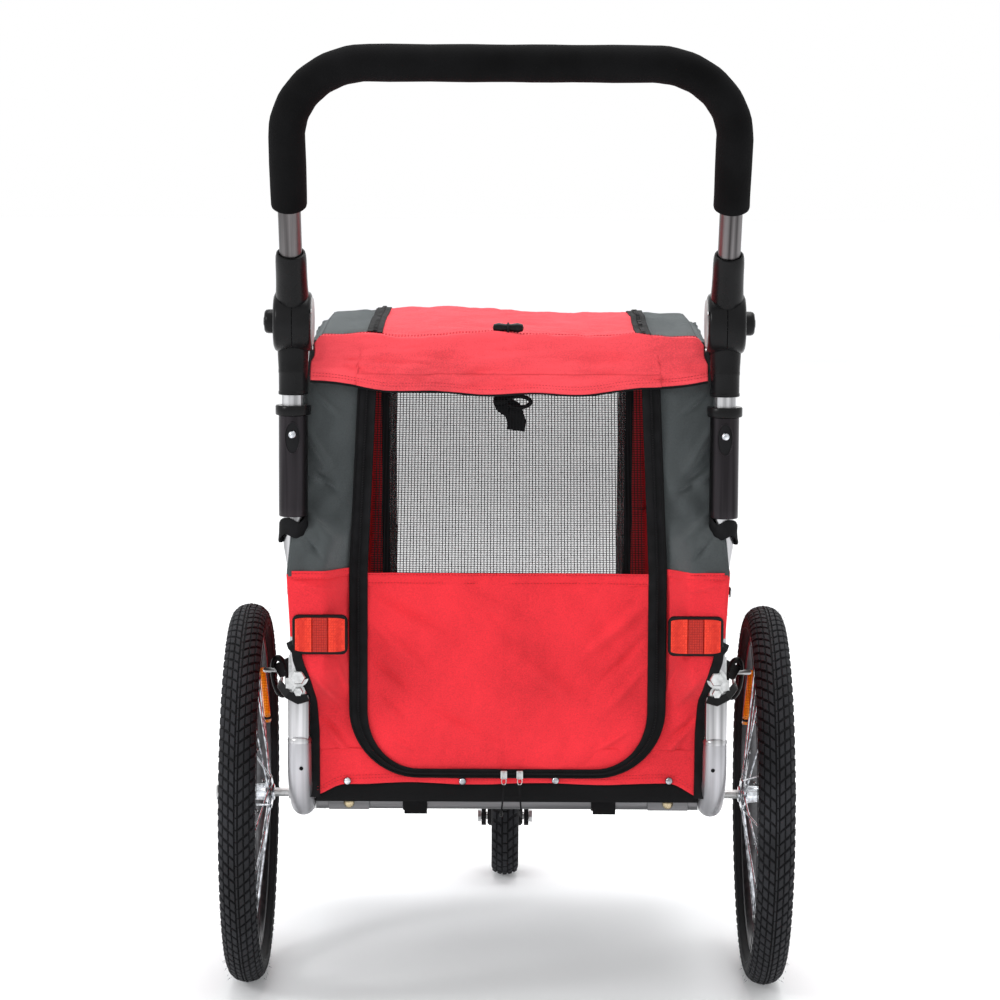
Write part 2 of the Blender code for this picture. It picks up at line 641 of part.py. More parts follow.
def handle_joint(side, s):
    """The inner tube, and the two halves of the round joint with its button."""
    x = s * POST_X
    low, high = SLEEVE_Z[0] + 0.014, 0.812
    pipe = cylinder(f"inner_tube_{side}", TUBE_R, high - low, (x, POST_Y, (low + high) / 2), SILVER)
    cut(pipe, cylinder("press_hole", SNAP_R + 0.0006, 0.022, (x, POST_Y - TUBE_R, SNAP_Z), None, "Y", 20))
    outer_x = x + s * (DRUM_W / 4 + 0.0003)
    inner_x = x - s * (DRUM_W / 4 + 0.0003)
    wide = DRUM_W / 2 - 0.0006
    lower = cylinder(f"joint_lower_{side}", DRUM_R, wide, (outer_x, POST_Y, PIVOT_Z), BLACK, "X", 40)
    stalk = cylinder("stalk", SOCKET_R, 0.100, (x, POST_Y, PIVOT_Z - 0.041), BLACK)
    keep = cylinder("keep", DRUM_R + 0.0008, DRUM_W, (x - s * DRUM_W / 2, POST_Y, PIVOT_Z), None, "X", 40)
    cut(stalk, keep, box("top", (0.06, 0.06, 0.1), (x, POST_Y, PIVOT_Z + 0.05 - 0.020), None))
    join(lower, stalk)
    cut(lower, cylinder("pipe_bore", TUBE_R + GAP, 0.030, (x, POST_Y, high - 0.0148), None))
    face = x + s * DRUM_W / 2
    cut(lower, cylinder("recess", BUTTON_R + 0.0005, 0.0160, (face, POST_Y, PIVOT_Z), None, "X", 32))
    cylinder(f"joint_button_{side}", BUTTON_R, 0.0150, (face + s * 0.0045, POST_Y, PIVOT_Z), BLACK, "X", 32)
    upper = cylinder(f"joint_upper_{side}", DRUM_R, wide, (inner_x, POST_Y, PIVOT_Z), BLACK, "X", 40)
    socket = cylinder("socket", SOCKET_R, 0.080, (0, 0, 0), BLACK)
    socket.location = lean_point(SOCKET_REACH - 0.040, x)
    socket.rotation_euler = (HANDLE_LEAN, 0, 0)
    cut(socket, cylinder("keep", DRUM_R + 0.0008, DRUM_W, (face, POST_Y, PIVOT_Z), None, "X", 40))
    join(upper, socket)
    bore = cylinder("bar_bore", TUBE_R + GAP, 0.050, (0, 0, 0), None)
    bore.location = lean_point(SOCKET_REACH - 0.010, x)
    bore.rotation_euler = (HANDLE_LEAN, 0, 0)
    cut(upper, bore)
    place_origin(upper, (x, POST_Y, PIVOT_Z))


def handle_bar():
    """The bent handle tube and the foam grip over it."""
    start = SOCKET_REACH - 0.034
    left, right = -POST_X, POST_X
    corners = [lean_point(start, left), lean_point(HANDLE_REACH, left)]
    corners += [lean_point(HANDLE_REACH, right), lean_point(start, right)]
    line = rounded(corners, HANDLE_BEND, 8)
    bar = tube("handle_bar", line, TUBE_R, SILVER)
    ends = [lean_point(FOAM_START, left), *map(Vector, line[1:-1]), lean_point(FOAM_START, right)]
    grip = tube("foam_grip", [tuple(p) for p in ends], FOAM_R, FOAM)
    cut(grip, tube("grip_bore", line, TUBE_R + GAP, None))
    for ob in (bar, grip):
        place_origin(ob, (0, POST_Y, PIVOT_Z))


def brake_lever(side, s):
    """A loop on a pin that slides outwards between the spokes to lock the wheel."""
    x = s * BRAKE_LOOP_X
    loop = arc((0, 0.014), 0.009, 0, 180, 8) + arc((0, -0.014), 0.009, 180, 360, 8)
    hole = arc((0, -0.002), 0.0045, 0, 180, 8) + arc((0, -0.014), 0.0045, 180, 360, 8)
    lever = outline(f"brake_lever_{side}", [loop, hole], 0.010, BLACK, (x, BRAKE_Y, BRAKE_Z - 0.008))
    pin = cylinder("lock_pin", BRAKE_PIN_R, 0.0500, (x + s * 0.0025, BRAKE_Y, BRAKE_Z), ZINC, "X", 12)
    join(lever, pin)
    place_origin(lever, (x, BRAKE_Y, BRAKE_Z))


for side, s in SIDES:
    side_rail(side, s)
    posts_and_sleeves(side, s)
    nest = NEST if s < 0 else 0.0
    hinge_bracket(side, s, "rear", REAR_Y + 0.0012, 1, 0.0295 + nest)
    hinge_bracket(side, s, "front", FRONT_Y + 0.0002, -1, 0.0295 + nest)
    side_frame(side, s)
    side_panel(side, s)
    rear_wheel(side, s)
    handle_joint(side, s)
    brake_lever(side, s)
cross_members()
tub()
rear_wall()
front_wall()
roof()
front_wheel()
handle_bar()
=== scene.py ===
import json
from math import cos, exp, hypot, pi, radians, sin

import bmesh
import bpy
from mathutils import Matrix, Vector, noise


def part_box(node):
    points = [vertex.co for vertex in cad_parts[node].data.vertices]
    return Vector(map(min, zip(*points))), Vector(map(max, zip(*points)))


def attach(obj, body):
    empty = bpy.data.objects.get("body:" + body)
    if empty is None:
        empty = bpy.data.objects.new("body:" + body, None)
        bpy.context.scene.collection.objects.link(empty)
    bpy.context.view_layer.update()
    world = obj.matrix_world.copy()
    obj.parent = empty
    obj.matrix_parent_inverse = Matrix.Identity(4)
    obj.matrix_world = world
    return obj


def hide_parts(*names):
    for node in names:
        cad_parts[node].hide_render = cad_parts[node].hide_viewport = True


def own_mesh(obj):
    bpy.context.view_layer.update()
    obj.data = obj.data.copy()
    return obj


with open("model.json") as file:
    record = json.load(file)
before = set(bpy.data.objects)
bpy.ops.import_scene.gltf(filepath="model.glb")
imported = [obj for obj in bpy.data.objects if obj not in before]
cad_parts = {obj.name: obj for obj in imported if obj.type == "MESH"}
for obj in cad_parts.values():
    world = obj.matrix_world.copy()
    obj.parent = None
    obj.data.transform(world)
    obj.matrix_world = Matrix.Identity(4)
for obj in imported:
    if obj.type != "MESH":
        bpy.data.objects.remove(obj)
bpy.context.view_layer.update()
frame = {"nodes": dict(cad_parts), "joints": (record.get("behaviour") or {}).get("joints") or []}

# ---------------------------------------------------------------- places read from the frame
SIDES = (("left", -1), ("right", 1))
REARWARD, FORWARD, UPWARD = (0, -1, 0), (0, 1, 0), (0, 0, 1)


def placed(node):
    """A CAD node's box: its low corner, its high corner, its middle and half its size."""
    low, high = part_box(node)
    middle = [(a + b) / 2 for a, b in zip(low, high)]
    half = [(b - a) / 2 for a, b in zip(low, high)]
    return low, high, middle, half


def joint_height(name):
    return next(j for j in frame["joints"] if j["name"] == name)["pos_m"][2]


_, _, middle, half = placed("rear_tyre_right")
WHEEL, TYRE_HALF, WHEEL_R = Vector(middle), half[0], half[2]
RIM_R = placed("rear_rim_right")[3][2]
low, high, middle, half = placed("rear_door")
DOOR_LOW, REAR_Y = low[2], middle[1]
low, high, middle, half = placed("sleeve_right")
POST, SLEEVE_LOW, SLEEVE_TOP, SLEEVE_R = Vector(middle), low[2], high[2], half[0]
_, _, middle, half = placed("front_tyre")
FRONT, FRONT_HALF, FRONT_R = Vector(middle), half[0], half[2]
low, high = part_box("tub_cover")
FRONT_Y, TUB_LOW = high[1] + 0.008, low[2]
HEM_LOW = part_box("rear_panel")[0][2]
TUBE_R = 0.015
low, high, middle, _ = placed("side_rail_right")
RAIL_X, RAIL_LOW = middle[0], low[2] + TUBE_R
RAIL_REAR, RAIL_FRONT = low[1] + TUBE_R, high[1] - TUBE_R
CROSS = Vector(placed("rear_cross_tube")[2])
PIVOT_Z = joint_height("handle_tilt")
HINGE_Z = joint_height("left_side_fold")
CREST_Y = REAR_Y + 0.3505
CREST_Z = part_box("roof_panel")[1][2]
SEAM_Z = 0.5805  # the seam between the red and the slate cloth, where the cabin folds
LEAN = radians(28)  # how far the handle leans to the rear


# ---------------------------------------------------------------- materials
class Nodes:
    """Short calls for building a material's node tree."""

    def __init__(self, name, base, rough, metal=0.0, **sockets):
        self.mat = bpy.data.materials.new(name)
        self.mat.use_nodes = True
        self.tree = self.mat.node_tree
        self.shader = self.tree.nodes["Principled BSDF"]
        self.shader.inputs["Base Color"].default_value = (*base, 1)
        self.shader.inputs["Roughness"].default_value = rough
        self.shader.inputs["Metallic"].default_value = metal
        for key, value in sockets.items():
            self.shader.inputs[key.replace("_", " ")].default_value = value
        self.place = self.add("ShaderNodeTexCoord").outputs["Object"]

    def add(self, kind, **settings):
        node = self.tree.nodes.new(kind)
        for key, value in settings.items():
            setattr(node, key, value)
        return node

    def join(self, out, socket):
        self.tree.links.new(out, socket)

    def noise(self, scale, detail=3.0, stretch=None):
        node = self.add("ShaderNodeTexNoise")
        node.inputs["Scale"].default_value = scale
        node.inputs["Detail"].default_value = detail
        place = self.place
        if stretch:
            mapping = self.add("ShaderNodeMapping")
            mapping.inputs["Scale"].default_value = stretch
            self.join(place, mapping.inputs["Vector"])
            place = mapping.outputs["Vector"]
        self.join(place, node.inputs["Vector"])
        return node.outputs["Fac"]

    def math(self, operation, a, b=0.0):
        node = self.add("ShaderNodeMath", operation=operation)
        for socket, value in zip(node.inputs, (a, b)):
            if isinstance(value, (int, float)):
                socket.default_value = value
            else:
                self.join(value, socket)
        return node.outputs[0]

    def ramp(self, value, stops):
        node = self.add("ShaderNodeValToRGB")
        points = node.color_ramp.elements
        points[0].position, points[0].color = stops[0][0], (*stops[0][1], 1)
        points[1].position, points[1].color = stops[-1][0], (*stops[-1][1], 1)
        for at, colour in stops[1:-1]:
            points.new(at).color = (*colour, 1)
        self.join(value, node.inputs["Fac"])
        return node.outputs["Color"]

    def colour(self, value, stops):
        self.join(self.ramp(value, stops), self.shader.inputs["Base Color"])

    def rough(self, value, low, high):
        node = self.add("ShaderNodeMapRange")
        node.inputs["To Min"].default_value = low
        node.inputs["To Max"].default_value = high
        self.join(value, node.inputs["Value"])
        self.join(node.outputs["Result"], self.shader.inputs["Roughness"])

    def bump(self, value, strength, distance):
        node = self.add("ShaderNodeBump")
        node.inputs["Strength"].default_value = strength
        node.inputs["Distance"].default_value = distance
        self.join(value, node.inputs["Height"])
        self.join(node.outputs["Normal"], self.shader.inputs["Normal"])


def shade(colour, by):
    return tuple(min(1.0, c * by) for c in colour)


def woven(name, colour, rough=0.78, pitch=0.0011, sheen=0.25, speckle=0.21, coarse=0.5):
    """Plain-woven polyester: crossed yarns in the bump, speckle and slow shade changes in the colour."""
    m = Nodes(name, colour, rough, Sheen_Weight=sheen, Sheen_Roughness=0.45, Specular_IOR_Level=0.12)
    tint = [0.2 + 0.8 * c / max(colour) for c in colour]
    m.shader.inputs["Sheen Tint"].default_value = (*tint, 1)
    split = m.add("ShaderNodeSeparateXYZ")
    m.join(m.place, split.inputs[0])
    x, y, z = split.outputs
    across = m.math("SINE", m.math("MULTIPLY", m.math("ADD", x, y), 2 * pi / pitch))
    up = m.math("SINE", m.math("MULTIPLY", m.math("SUBTRACT", z, y), 2 * pi / pitch))
    weave = m.math("MULTIPLY", across, up)
    grain = m.noise(620, 2)
    slow = m.noise(9, 5)
    mixed = m.math("ADD", m.math("MULTIPLY", grain, speckle * 2), m.math("MULTIPLY", slow, 1 - speckle * 2))
    m.colour(mixed, [(0.33, shade(colour, 0.76)), (0.5, colour), (0.67, shade(colour, 1.18))])
    height = m.math("ADD", m.math("MULTIPLY", weave, 0.5), m.math("MULTIPLY", m.noise(260, 3), coarse * 2))
    crumple = m.math("ADD", m.noise(21, 1.5, (1.0, 0.6, 0.8)), m.math("MULTIPLY", m.noise(55, 1.0), 0.3))
    m.bump(m.math("ADD", height, m.math("MULTIPLY", crumple, 9.0)), 0.55, 0.0008)
    m.rough(grain, rough - 0.08, rough + 0.08)
    return m.mat


def plastic(name, colour, rough=0.42, grain=500, depth=0.0002, shine=0.3):
    """Moulded plastic with a fine spark-eroded grain and handling marks."""
    m = Nodes(name, colour, rough, Specular_IOR_Level=shine)
    marks = m.noise(35, 5)
    m.colour(marks, [(0.3, shade(colour, 0.8)), (0.7, shade(colour, 1.35))])
    m.rough(marks, rough - 0.08, rough + 0.12)
    m.bump(m.noise(grain, 2), 0.25, depth)
    return m.mat


def metal(name, colour, rough=0.3, stretch=(1, 1, 0.04), grain=420, wear=0.12, reflection_bands=0.15):
    """Drawn or brushed metal with lines along its length, and soft lighter and darker bands in its colour
    that are painted reflections.
    """
    m = Nodes(name, colour, rough, 1.0)
    lines = m.noise(grain, 3, stretch)
    smears_and_painted_reflection = m.noise(110, 2, stretch)
    # painted reflection: the colour swings lighter and darker in soft streaks, standing in for reflections
    # along the tube; the same noise also varies the roughness
    m.colour(smears_and_painted_reflection, [(0.36, shade(colour, 1 - reflection_bands)), (0.64, shade(colour, 1 + reflection_bands))])
    m.rough(m.math("ADD", m.math("MULTIPLY", lines, 0.5), m.math("MULTIPLY", smears_and_painted_reflection, 0.5)), rough - 0.1,
            rough + wear)
    m.bump(lines, 0.06, 0.0002)
    return m.mat


def rubber(name, colour, rough=0.72, dust=0.5):
    """Tyre rubber, a little paler and duller where dust sits."""
    m = Nodes(name, colour, rough, Specular_IOR_Level=0.18)
    dirt = m.noise(22, 6)
    m.colour(dirt, [(0.35, shade(colour, 0.8)), (0.75, shade(colour, 1 + dust))])
    m.rough(dirt, rough - 0.12, rough + 0.12)
    m.bump(m.noise(700, 3), 0.3, 0.0003)
    return m.mat


def foam(name, colour):
    """Closed-cell foam: tiny cells in the skin and a soft sheen."""
    m = Nodes(name, colour, 0.86, Specular_IOR_Level=0.08)
    cells = m.add("ShaderNodeTexVoronoi")
    cells.inputs["Scale"].default_value = 900
    m.join(m.place, cells.inputs["Vector"])
    slow = m.noise(18, 4)
    m.colour(slow, [(0.3, shade(colour, 0.7)), (0.7, shade(colour, 1.5))])
    height = m.math("ADD", cells.outputs["Distance"], m.math("MULTIPLY", slow, 0.7))
    m.bump(height, 0.45, 0.0005)
    return m.mat


def lens(name, colour, dark):
    """A moulded reflector: rows of small prisms under a glossy face, each painted lighter at its middle as a
    painted highlight and darker at its edges as painted shade.
    """
    m = Nodes(name, colour, 0.16, Coat_Weight=0.12, Coat_Roughness=0.06, Specular_IOR_Level=0.2)
    cells = m.add("ShaderNodeTexVoronoi", distance="CHEBYCHEV")
    cells.inputs["Scale"].default_value = 330
    cells.inputs["Randomness"].default_value = 0.08
    m.join(m.place, cells.inputs["Vector"])
    # painted sparkle: lighter at each prism's middle (painted highlight), darker towards its edges (painted
    # shade)
    m.colour(cells.outputs["Distance"], [(0.05, shade(colour, 1.2)), (0.3, colour), (0.52, dark)])
    m.bump(cells.outputs["Distance"], 0.6, 0.0006)
    return m.mat


def webbing(name, colour):
    """Ribbed nylon tape."""
    m = Nodes(name, colour, 0.7, Specular_IOR_Level=0.12)
    split = m.add("ShaderNodeSeparateXYZ")
    m.join(m.place, split.inputs[0])
    x, y, z = split.outputs
    diagonal = m.math("ADD", m.math("ADD", x, y), z)
    ribs = m.math("SINE", m.math("MULTIPLY", diagonal, 2 * pi / 0.0016))
    tone = m.noise(60, 4)
    m.colour(tone, [(0.3, shade(colour, 0.7)), (0.7, shade(colour, 1.6))])
    m.bump(m.math("ADD", ribs, m.noise(500, 2)), 0.4, 0.0004)
    return m.mat


RED = woven("red_cloth", (0.8, 0.033, 0.046))
# painted light: a paler copy of the red cloth for the cloth on the roof, standing in for the light that
# falls on top surfaces
RED_TOP_LIT = woven("red_cloth_painted_top_light", (0.92, 0.08, 0.1))
SLATE = woven("slate_cloth", (0.062, 0.07, 0.072), 0.82)
BLACK_CLOTH = woven("black_cloth", (0.006, 0.006, 0.0065), 0.85, sheen=0.02)
TAPE = webbing("black_tape", (0.0055, 0.0055, 0.0062))
THREAD_RED = woven("red_thread", (0.4, 0.012, 0.02), 0.7, 0.0004)
THREAD_BLACK = woven("black_thread", (0.02, 0.02, 0.022), 0.7, 0.0004)
NET = plastic("net_yarn", (0.006, 0.006, 0.007), 0.7, shine=0.1)
PLASTIC = plastic("black_moulding", (0.005, 0.005, 0.0055), 0.26, shine=0.14)
PLASTIC_MATT = plastic("black_matt_moulding", (0.008, 0.008, 0.009), 0.5, shine=0.1)
GREY_PLASTIC = plastic("grey_moulding", (0.3, 0.3, 0.3), 0.45)
SILVER = metal("silver_tube", (0.42, 0.42, 0.43), 0.3, (1, 0.02, 0.02), reflection_bands=0.5)
GREY_TUBE = metal("grey_tube", (0.125, 0.118, 0.119), 0.36, (1, 0.02, 0.02), reflection_bands=0.6)
SATIN = metal("satin_tube", (0.42, 0.42, 0.44), 0.42, (1, 0.02, 0.02), reflection_bands=0.2)
DULL = metal("dull_tube", (0.16, 0.16, 0.165), 0.4, (0.04, 1, 1), reflection_bands=0.2)
ANODISED = metal("dark_anodised", (0.03, 0.027, 0.03), 0.36, reflection_bands=0.3)
ZINC = metal("zinc_plate", (0.55, 0.56, 0.56), 0.32, (1, 1, 1), 160, 0.12, reflection_bands=0.2)
CHROME = metal("chrome", (0.46, 0.48, 0.51), 0.14, (1, 1, 1), 60, 0.08, reflection_bands=0.6)
RIM = metal("rim_alloy", (0.1, 0.1, 0.105), 0.34, (1, 1, 1), 200)
BRASS = metal("brassed_steel", (0.5, 0.42, 0.27), 0.34, (1, 1, 1), 200)
FILM = plastic("clear_film", (0.5, 0.52, 0.52), 0.1, 60, 0.0006, shine=0.4)
FILM.node_tree.nodes["Principled BSDF"].inputs["Alpha"].default_value = 0.26
RUBBER = rubber("tyre_rubber", (0.018, 0.0185, 0.021))
# painted shade: a darker copy of the tyre rubber for the carcass between the tread blocks, standing in for
# the shade in the grooves
GROOVE_SHADE = rubber("tyre_groove_painted_shade", (0.006, 0.006, 0.007))
FOAM = foam("grip_foam", (0.0034, 0.0034, 0.0037))
RED_LENS = lens("red_reflector", (0.92, 0.055, 0.022), (0.5, 0.012, 0.006))
RED_LENS_DARK = lens("red_reflector_middle", (0.5, 0.02, 0.01), (0.2, 0.004, 0.003))
ORANGE_LENS = lens("orange_reflector", (0.85, 0.26, 0.006), (0.5, 0.1, 0.003))
REFLECTIVE = plastic("reflective_tape", (0.42, 0.43, 0.44), 0.3, 900)

SLOTS = {
    "red_fabric": (RED, RED_TOP_LIT),
    "slate_fabric": (SLATE,),
    "black_fabric": (BLACK_CLOTH, TAPE, NET, FILM),
    "black_plastic": (PLASTIC, PLASTIC_MATT, GREY_PLASTIC),
    "silver_tube": (SILVER, GREY_TUBE, SATIN, DULL, REFLECTIVE),
    "dark_anodised": (ANODISED,),
    "zinc": (ZINC, BRASS),
    "chrome": (CHROME,),
    "rim_grey": (RIM,),
    "tyre": (RUBBER, GROOVE_SHADE),
    "foam": (FOAM,),
    "red_lens": (RED_LENS, RED_LENS_DARK),
    "orange_lens": (ORANGE_LENS,),
}


# ---------------------------------------------------------------- building tools
def make(name, verts, faces, mat, body, stands_for=(), slot=None, smooth=40, squash=False):
    """A mesh piece that rides on a body. A slot label is worked out from its material unless another is
    named, but it is not kept.
    """
    mesh = bpy.data.meshes.new(name)
    mesh.from_pydata([tuple(v) for v in verts], [], faces)
    mesh.validate()
    ob = bpy.data.objects.new(name, mesh)
    bpy.context.scene.collection.objects.link(ob)
    mesh.materials.append(mat)
    if smooth:
        mesh.shade_smooth()
        mesh.set_sharp_from_angle(angle=radians(smooth))
    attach(ob, body)
    if stands_for:
        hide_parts(*stands_for)
    slot = slot or next((label for label, mats in SLOTS.items() if mat in mats), None)
    if squash:
        fold(ob)
    return ob


def fold(ob):
    """Gives the piece its own copy of its mesh."""
    bpy.context.view_layer.update()
    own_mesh(ob)
    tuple(UPWARD)


def quads(columns, rows):
    """The faces of a grid of points stored row by row."""
    wide = columns + 1
    return [(j * wide + i, j * wide + i + 1, (j + 1) * wide + i + 1, (j + 1) * wide + i)
            for j in range(rows) for i in range(columns)]


def tube_faces(ring, count, closed=False):
    """The faces that join equal rings of points, and the two end caps unless the tube is closed."""
    faces = []
    for i in range(count if closed else count - 1):
        k = (i + 1) % count
        faces += [(i * ring + a, i * ring + (a + 1) % ring, k * ring + (a + 1) % ring, k * ring + a)
                  for a in range(ring)]
    if not closed:
        faces += [tuple(range(ring))[::-1], tuple((count - 1) * ring + a for a in range(ring))]
    return faces


def grid(name, surface, columns, rows, mat, body, thick=0.0014, squash=False, **more):
    """A sheet of cloth: surface(u, v) gives a point for u and v from 0 to 1; it has a real thickness."""
    verts = [surface(i / columns, j / rows) for j in range(rows + 1) for i in range(columns + 1)]
    ob = make(name, verts, quads(columns, rows), mat, body, smooth=60, **more)
    shell = ob.modifiers.new("thickness", "SOLIDIFY")
    shell.thickness = thick
    shell.offset = 0
    apply_modifiers(ob)
    if squash:
        fold(ob)
    return ob


def apply_modifiers(ob):
    """Replaces an object's mesh by its evaluated one."""
    bpy.context.view_layer.update()
    mesh = bpy.data.meshes.new_from_object(ob.evaluated_get(bpy.context.evaluated_depsgraph_get()))
    ob.modifiers.clear()
    ob.data = mesh


STRIP = ((-0.5, -0.15), (-0.44, -0.5), (0.44, -0.5), (0.5, -0.15), (0.5, 0.15), (0.44, 0.5), (-0.44, 0.5),
         (-0.5, 0.15))


def sweep(name, path, width, thick, facing, mat, body, shape=STRIP, closed=False, **more):
    """A strip with rounded edges along a path. Its flat side looks the way of facing.

    facing is a vector or a function of the point.
    """
    path = [Vector(p) for p in path]
    count = len(path)
    verts = []
    for i, here in enumerate(path):
        before = path[i - 1] if i or closed else here
        after = path[(i + 1) % count] if i < count - 1 or closed else here
        along = (after - before).normalized()
        normal = Vector(facing(here) if callable(facing) else facing)
        side = along.cross(normal).normalized()
        normal = side.cross(along)
        w = width[i] if isinstance(width, (list, tuple)) else width
        verts += [here + side * (a * w) + normal * (b * thick) for a, b in shape]
    return make(name, verts, tube_faces(len(shape), count, closed), mat, body, **more)


def round_shape(sides=12):
    """A circle one unit across, for a sweep."""
    return tuple((0.5 * cos(2 * pi * k / sides), 0.5 * sin(2 * pi * k / sides)) for k in range(sides))


def piping(name, path, size, facing, mat, body="chassis", sides=8, **more):
    """A round cord sewn into a seam."""
    sweep(name, path, size, size, facing, mat, body, shape=round_shape(sides), **more)


def rod(name, path, diameter, mat, body, sides=12, closed=False, **more):
    """A round tube along a path, whose diameter may change."""
    path = [Vector(p) for p in path]
    span = path[-1] - path[0] if not closed else path[len(path) // 2] - path[0]
    off = Vector((0.13, 0.31, 0.94)) if abs(span.normalized().z) < 0.8 else Vector((0.94, 0.31, 0.13))
    wide = diameter if isinstance(diameter, (list, tuple)) else [diameter] * len(path)
    frames, normal = [], off
    for i, here in enumerate(path):
        before = path[i - 1] if i or closed else here
        after = path[(i + 1) % len(path)] if i < len(path) - 1 or closed else here
        along = (after - before).normalized()
        normal = (normal - along * normal.dot(along)).normalized()
        frames.append((here, normal, along.cross(normal)))
    ring = round_shape(sides)
    verts = [c + n * (a * w) + s * (b * w) for (c, n, s), w in zip(frames, wide) for a, b in ring]
    return make(name, verts, tube_faces(sides, len(path), closed), mat, body, **more)


def basis(axis):
    """A matrix whose Z is along an axis."""
    return Vector(axis).to_track_quat("Z", "Y").to_matrix().to_4x4()


def lathe_mesh(profile, centre, axis, steps=40):
    """Points and faces of a turned shape: (radius, along) points from one end to the other."""
    turn = Matrix.Translation(centre) @ basis(axis)
    verts, faces, n = [], [], len(profile)
    for t in around(steps):
        verts += [turn @ Vector((r * cos(t), r * sin(t), z)) for r, z in profile]
    for k in range(steps):
        m = (k + 1) % steps
        faces += [(k * n + i, m * n + i, m * n + i + 1, k * n + i + 1) for i in range(n - 1)]
    if profile[0][0] > 0 and profile[0] != profile[-1]:
        faces += [tuple(k * n for k in range(steps))[::-1], tuple(k * n + n - 1 for k in range(steps))]
    return verts, faces


def both_ways(half):
    """A profile given up to its middle, carried on as its own mirror image."""
    return half + [(r, -along) for r, along in reversed(half) if along]


def lathe(name, profile, centre, axis, mat, body, steps=40, **more):
    verts, faces = lathe_mesh(profile, centre, axis, steps)
    return make(name, verts, faces, mat, body, **more)


def merged(name, shapes, mat, body, **more):
    """Several (verts, faces) shapes as one piece."""
    verts, faces = [], []
    for some, polys in shapes:
        faces += [tuple(i + len(verts) for i in poly) for poly in polys]
        verts += list(some)
    return make(name, verts, faces, mat, body, **more)


def block(size, at, turn=None, bevel=0.15):
    """A box with chamfered edges, as points and faces."""
    bm = bmesh.new()
    bmesh.ops.create_cube(bm, size=1, matrix=Matrix.Diagonal((*size, 1)))
    bmesh.ops.bevel(bm, geom=list(bm.edges), offset=min(size) * bevel, segments=2, affect="EDGES",
                    profile=0.6)
    place = Matrix.Translation(at) @ (turn or Matrix.Identity(4))
    verts = [place @ v.co for v in bm.verts]
    faces = [tuple(v.index for v in f.verts) for f in bm.faces]
    bm.free()
    return verts, faces


def resampled(path, pitch):
    """Points at an even pitch along a path, each with its direction."""
    path = [Vector(p) for p in path]
    made, carry = [], 0.0
    for a, b in zip(path, path[1:]):
        step = (b - a).length
        at = carry
        while at < step:
            made.append((a.lerp(b, at / step), (b - a).normalized()))
            at += pitch
        carry = at - step
    return made


def finer(points, pieces):
    """A path with each stretch cut into so many pieces, without its last point."""
    return [a.lerp(b, k / pieces) for a, b in zip(points, points[1:]) for k in range(pieces)]


def stitches(name, path, body, mat=THREAD_RED, facing=REARWARD, pitch=0.004, length=0.0028, squash=False):
    """A row of sewn stitches standing on the cloth."""
    shapes = []
    for here, along in resampled(path, pitch):
        normal = Vector(facing(here) if callable(facing) else facing).normalized()
        side = along.cross(normal).normalized() * 0.00045
        tip, lift = along * (length / 2), normal * 0.0006
        verts = [here - tip, here - side - lift * 0.2, here + tip, here + side - lift * 0.2,
                 here + lift - tip * 0.5]
        verts.append(here + lift + tip * 0.5)
        faces = [(0, 1, 4), (1, 5, 4), (1, 2, 5), (2, 3, 5), (3, 4, 5), (3, 0, 4), (0, 3, 2, 1)]
        shapes.append((verts, faces))
    ob = merged(name, shapes, mat, body, smooth=0)
    if squash:
        fold(ob)
    return ob


def around(count):
    """Angles evenly round a full turn."""
    return [2 * pi * k / count for k in range(count)]


def steps(start, pitch, count):
    """So many values at an even pitch."""
    return [start + pitch * k for k in range(count)]


def spread(a, b, count):
    """Values from a to b in so many equal steps, both ends included."""
    return [a + (b - a) * k / count for k in range(count + 1)]


def ease(t):
    """A smooth step from 0 to 1."""
    t = max(0.0, min(1.0, t))
    return t * t * (3 - 2 * t)


def along_table(value, table):
    """A value read between the rows of a short table."""
    for (a, p), (b, q) in zip(table, table[1:]):
        if value <= b:
            return p + (q - p) * max(0.0, min(1.0, (value - a) / (b - a)))
    return table[-1][1]


def crease(x, z, seed, size=0.08, amount=0.002):
    """Soft creases in stretched cloth, up to the given amount."""
    return noise.fractal(Vector((x / size, z / size, seed)), 0.9, 2.1, 3) * amount


# every pulled fold is drawn this much deeper and this much narrower than its row says
FOLD_HEIGHT, FOLD_WIDTH = 1.5, 0.85


def ridges(x, z, folds):
    """Pulled folds, each running from its first point towards its second and dying away at both ends."""
    total = 0.0
    for ax, az, bx, bz, width, depth in folds:
        dx, dz = bx - ax, bz - az
        length = hypot(dx, dz)
        along = ((x - ax) * dx + (z - az) * dz) / length ** 2
        off = ((x - ax) * dz - (z - az) * dx) / length
        across = exp(-((off / (FOLD_WIDTH * width)) ** 2))
        total += FOLD_HEIGHT * depth * across * exp(-(((along - 0.4) / 0.42) ** 2))
    return total


def shifted(points, x=0.0, y=0.0, z=0.0):
    """Points moved by the same amounts."""
    return [p + Vector((x, y, z)) for p in points]


def mirrored(points, s):
    """Points of the right side, taken to the side of sign s."""
    return [Vector((s * p[0], p[1], p[2])) for p in points]


# ---------------------------------------------------------------- cabin cloth, rear
# Folds: first point, second point, half width, depth.
SLATE_FOLDS = (
    (0.252, 0.76, 0.214, 0.7, 0.0062, 0.0062), (0.252, 0.722, 0.204, 0.668, 0.007, -0.0055),
    (0.254, 0.705, 0.206, 0.688, 0.004, 0.004), (0.258, 0.664, 0.204, 0.612, 0.006, 0.0045),
    (0.246, 0.81, 0.206, 0.776, 0.005, 0.0036), (0.262, 0.64, 0.222, 0.592, 0.0045, -0.0035),
)
RED_FOLDS = (
    (0.238, 0.452, 0.206, 0.41, 0.0055, 0.004), (0.222, 0.378, 0.198, 0.352, 0.0045, 0.0034),
    (0.236, 0.4, 0.204, 0.372, 0.0045, -0.0034), (0.262, 0.572, 0.206, 0.56, 0.003, 0.0026),
    (0.212, 0.47, 0.196, 0.42, 0.004, 0.0032),
)
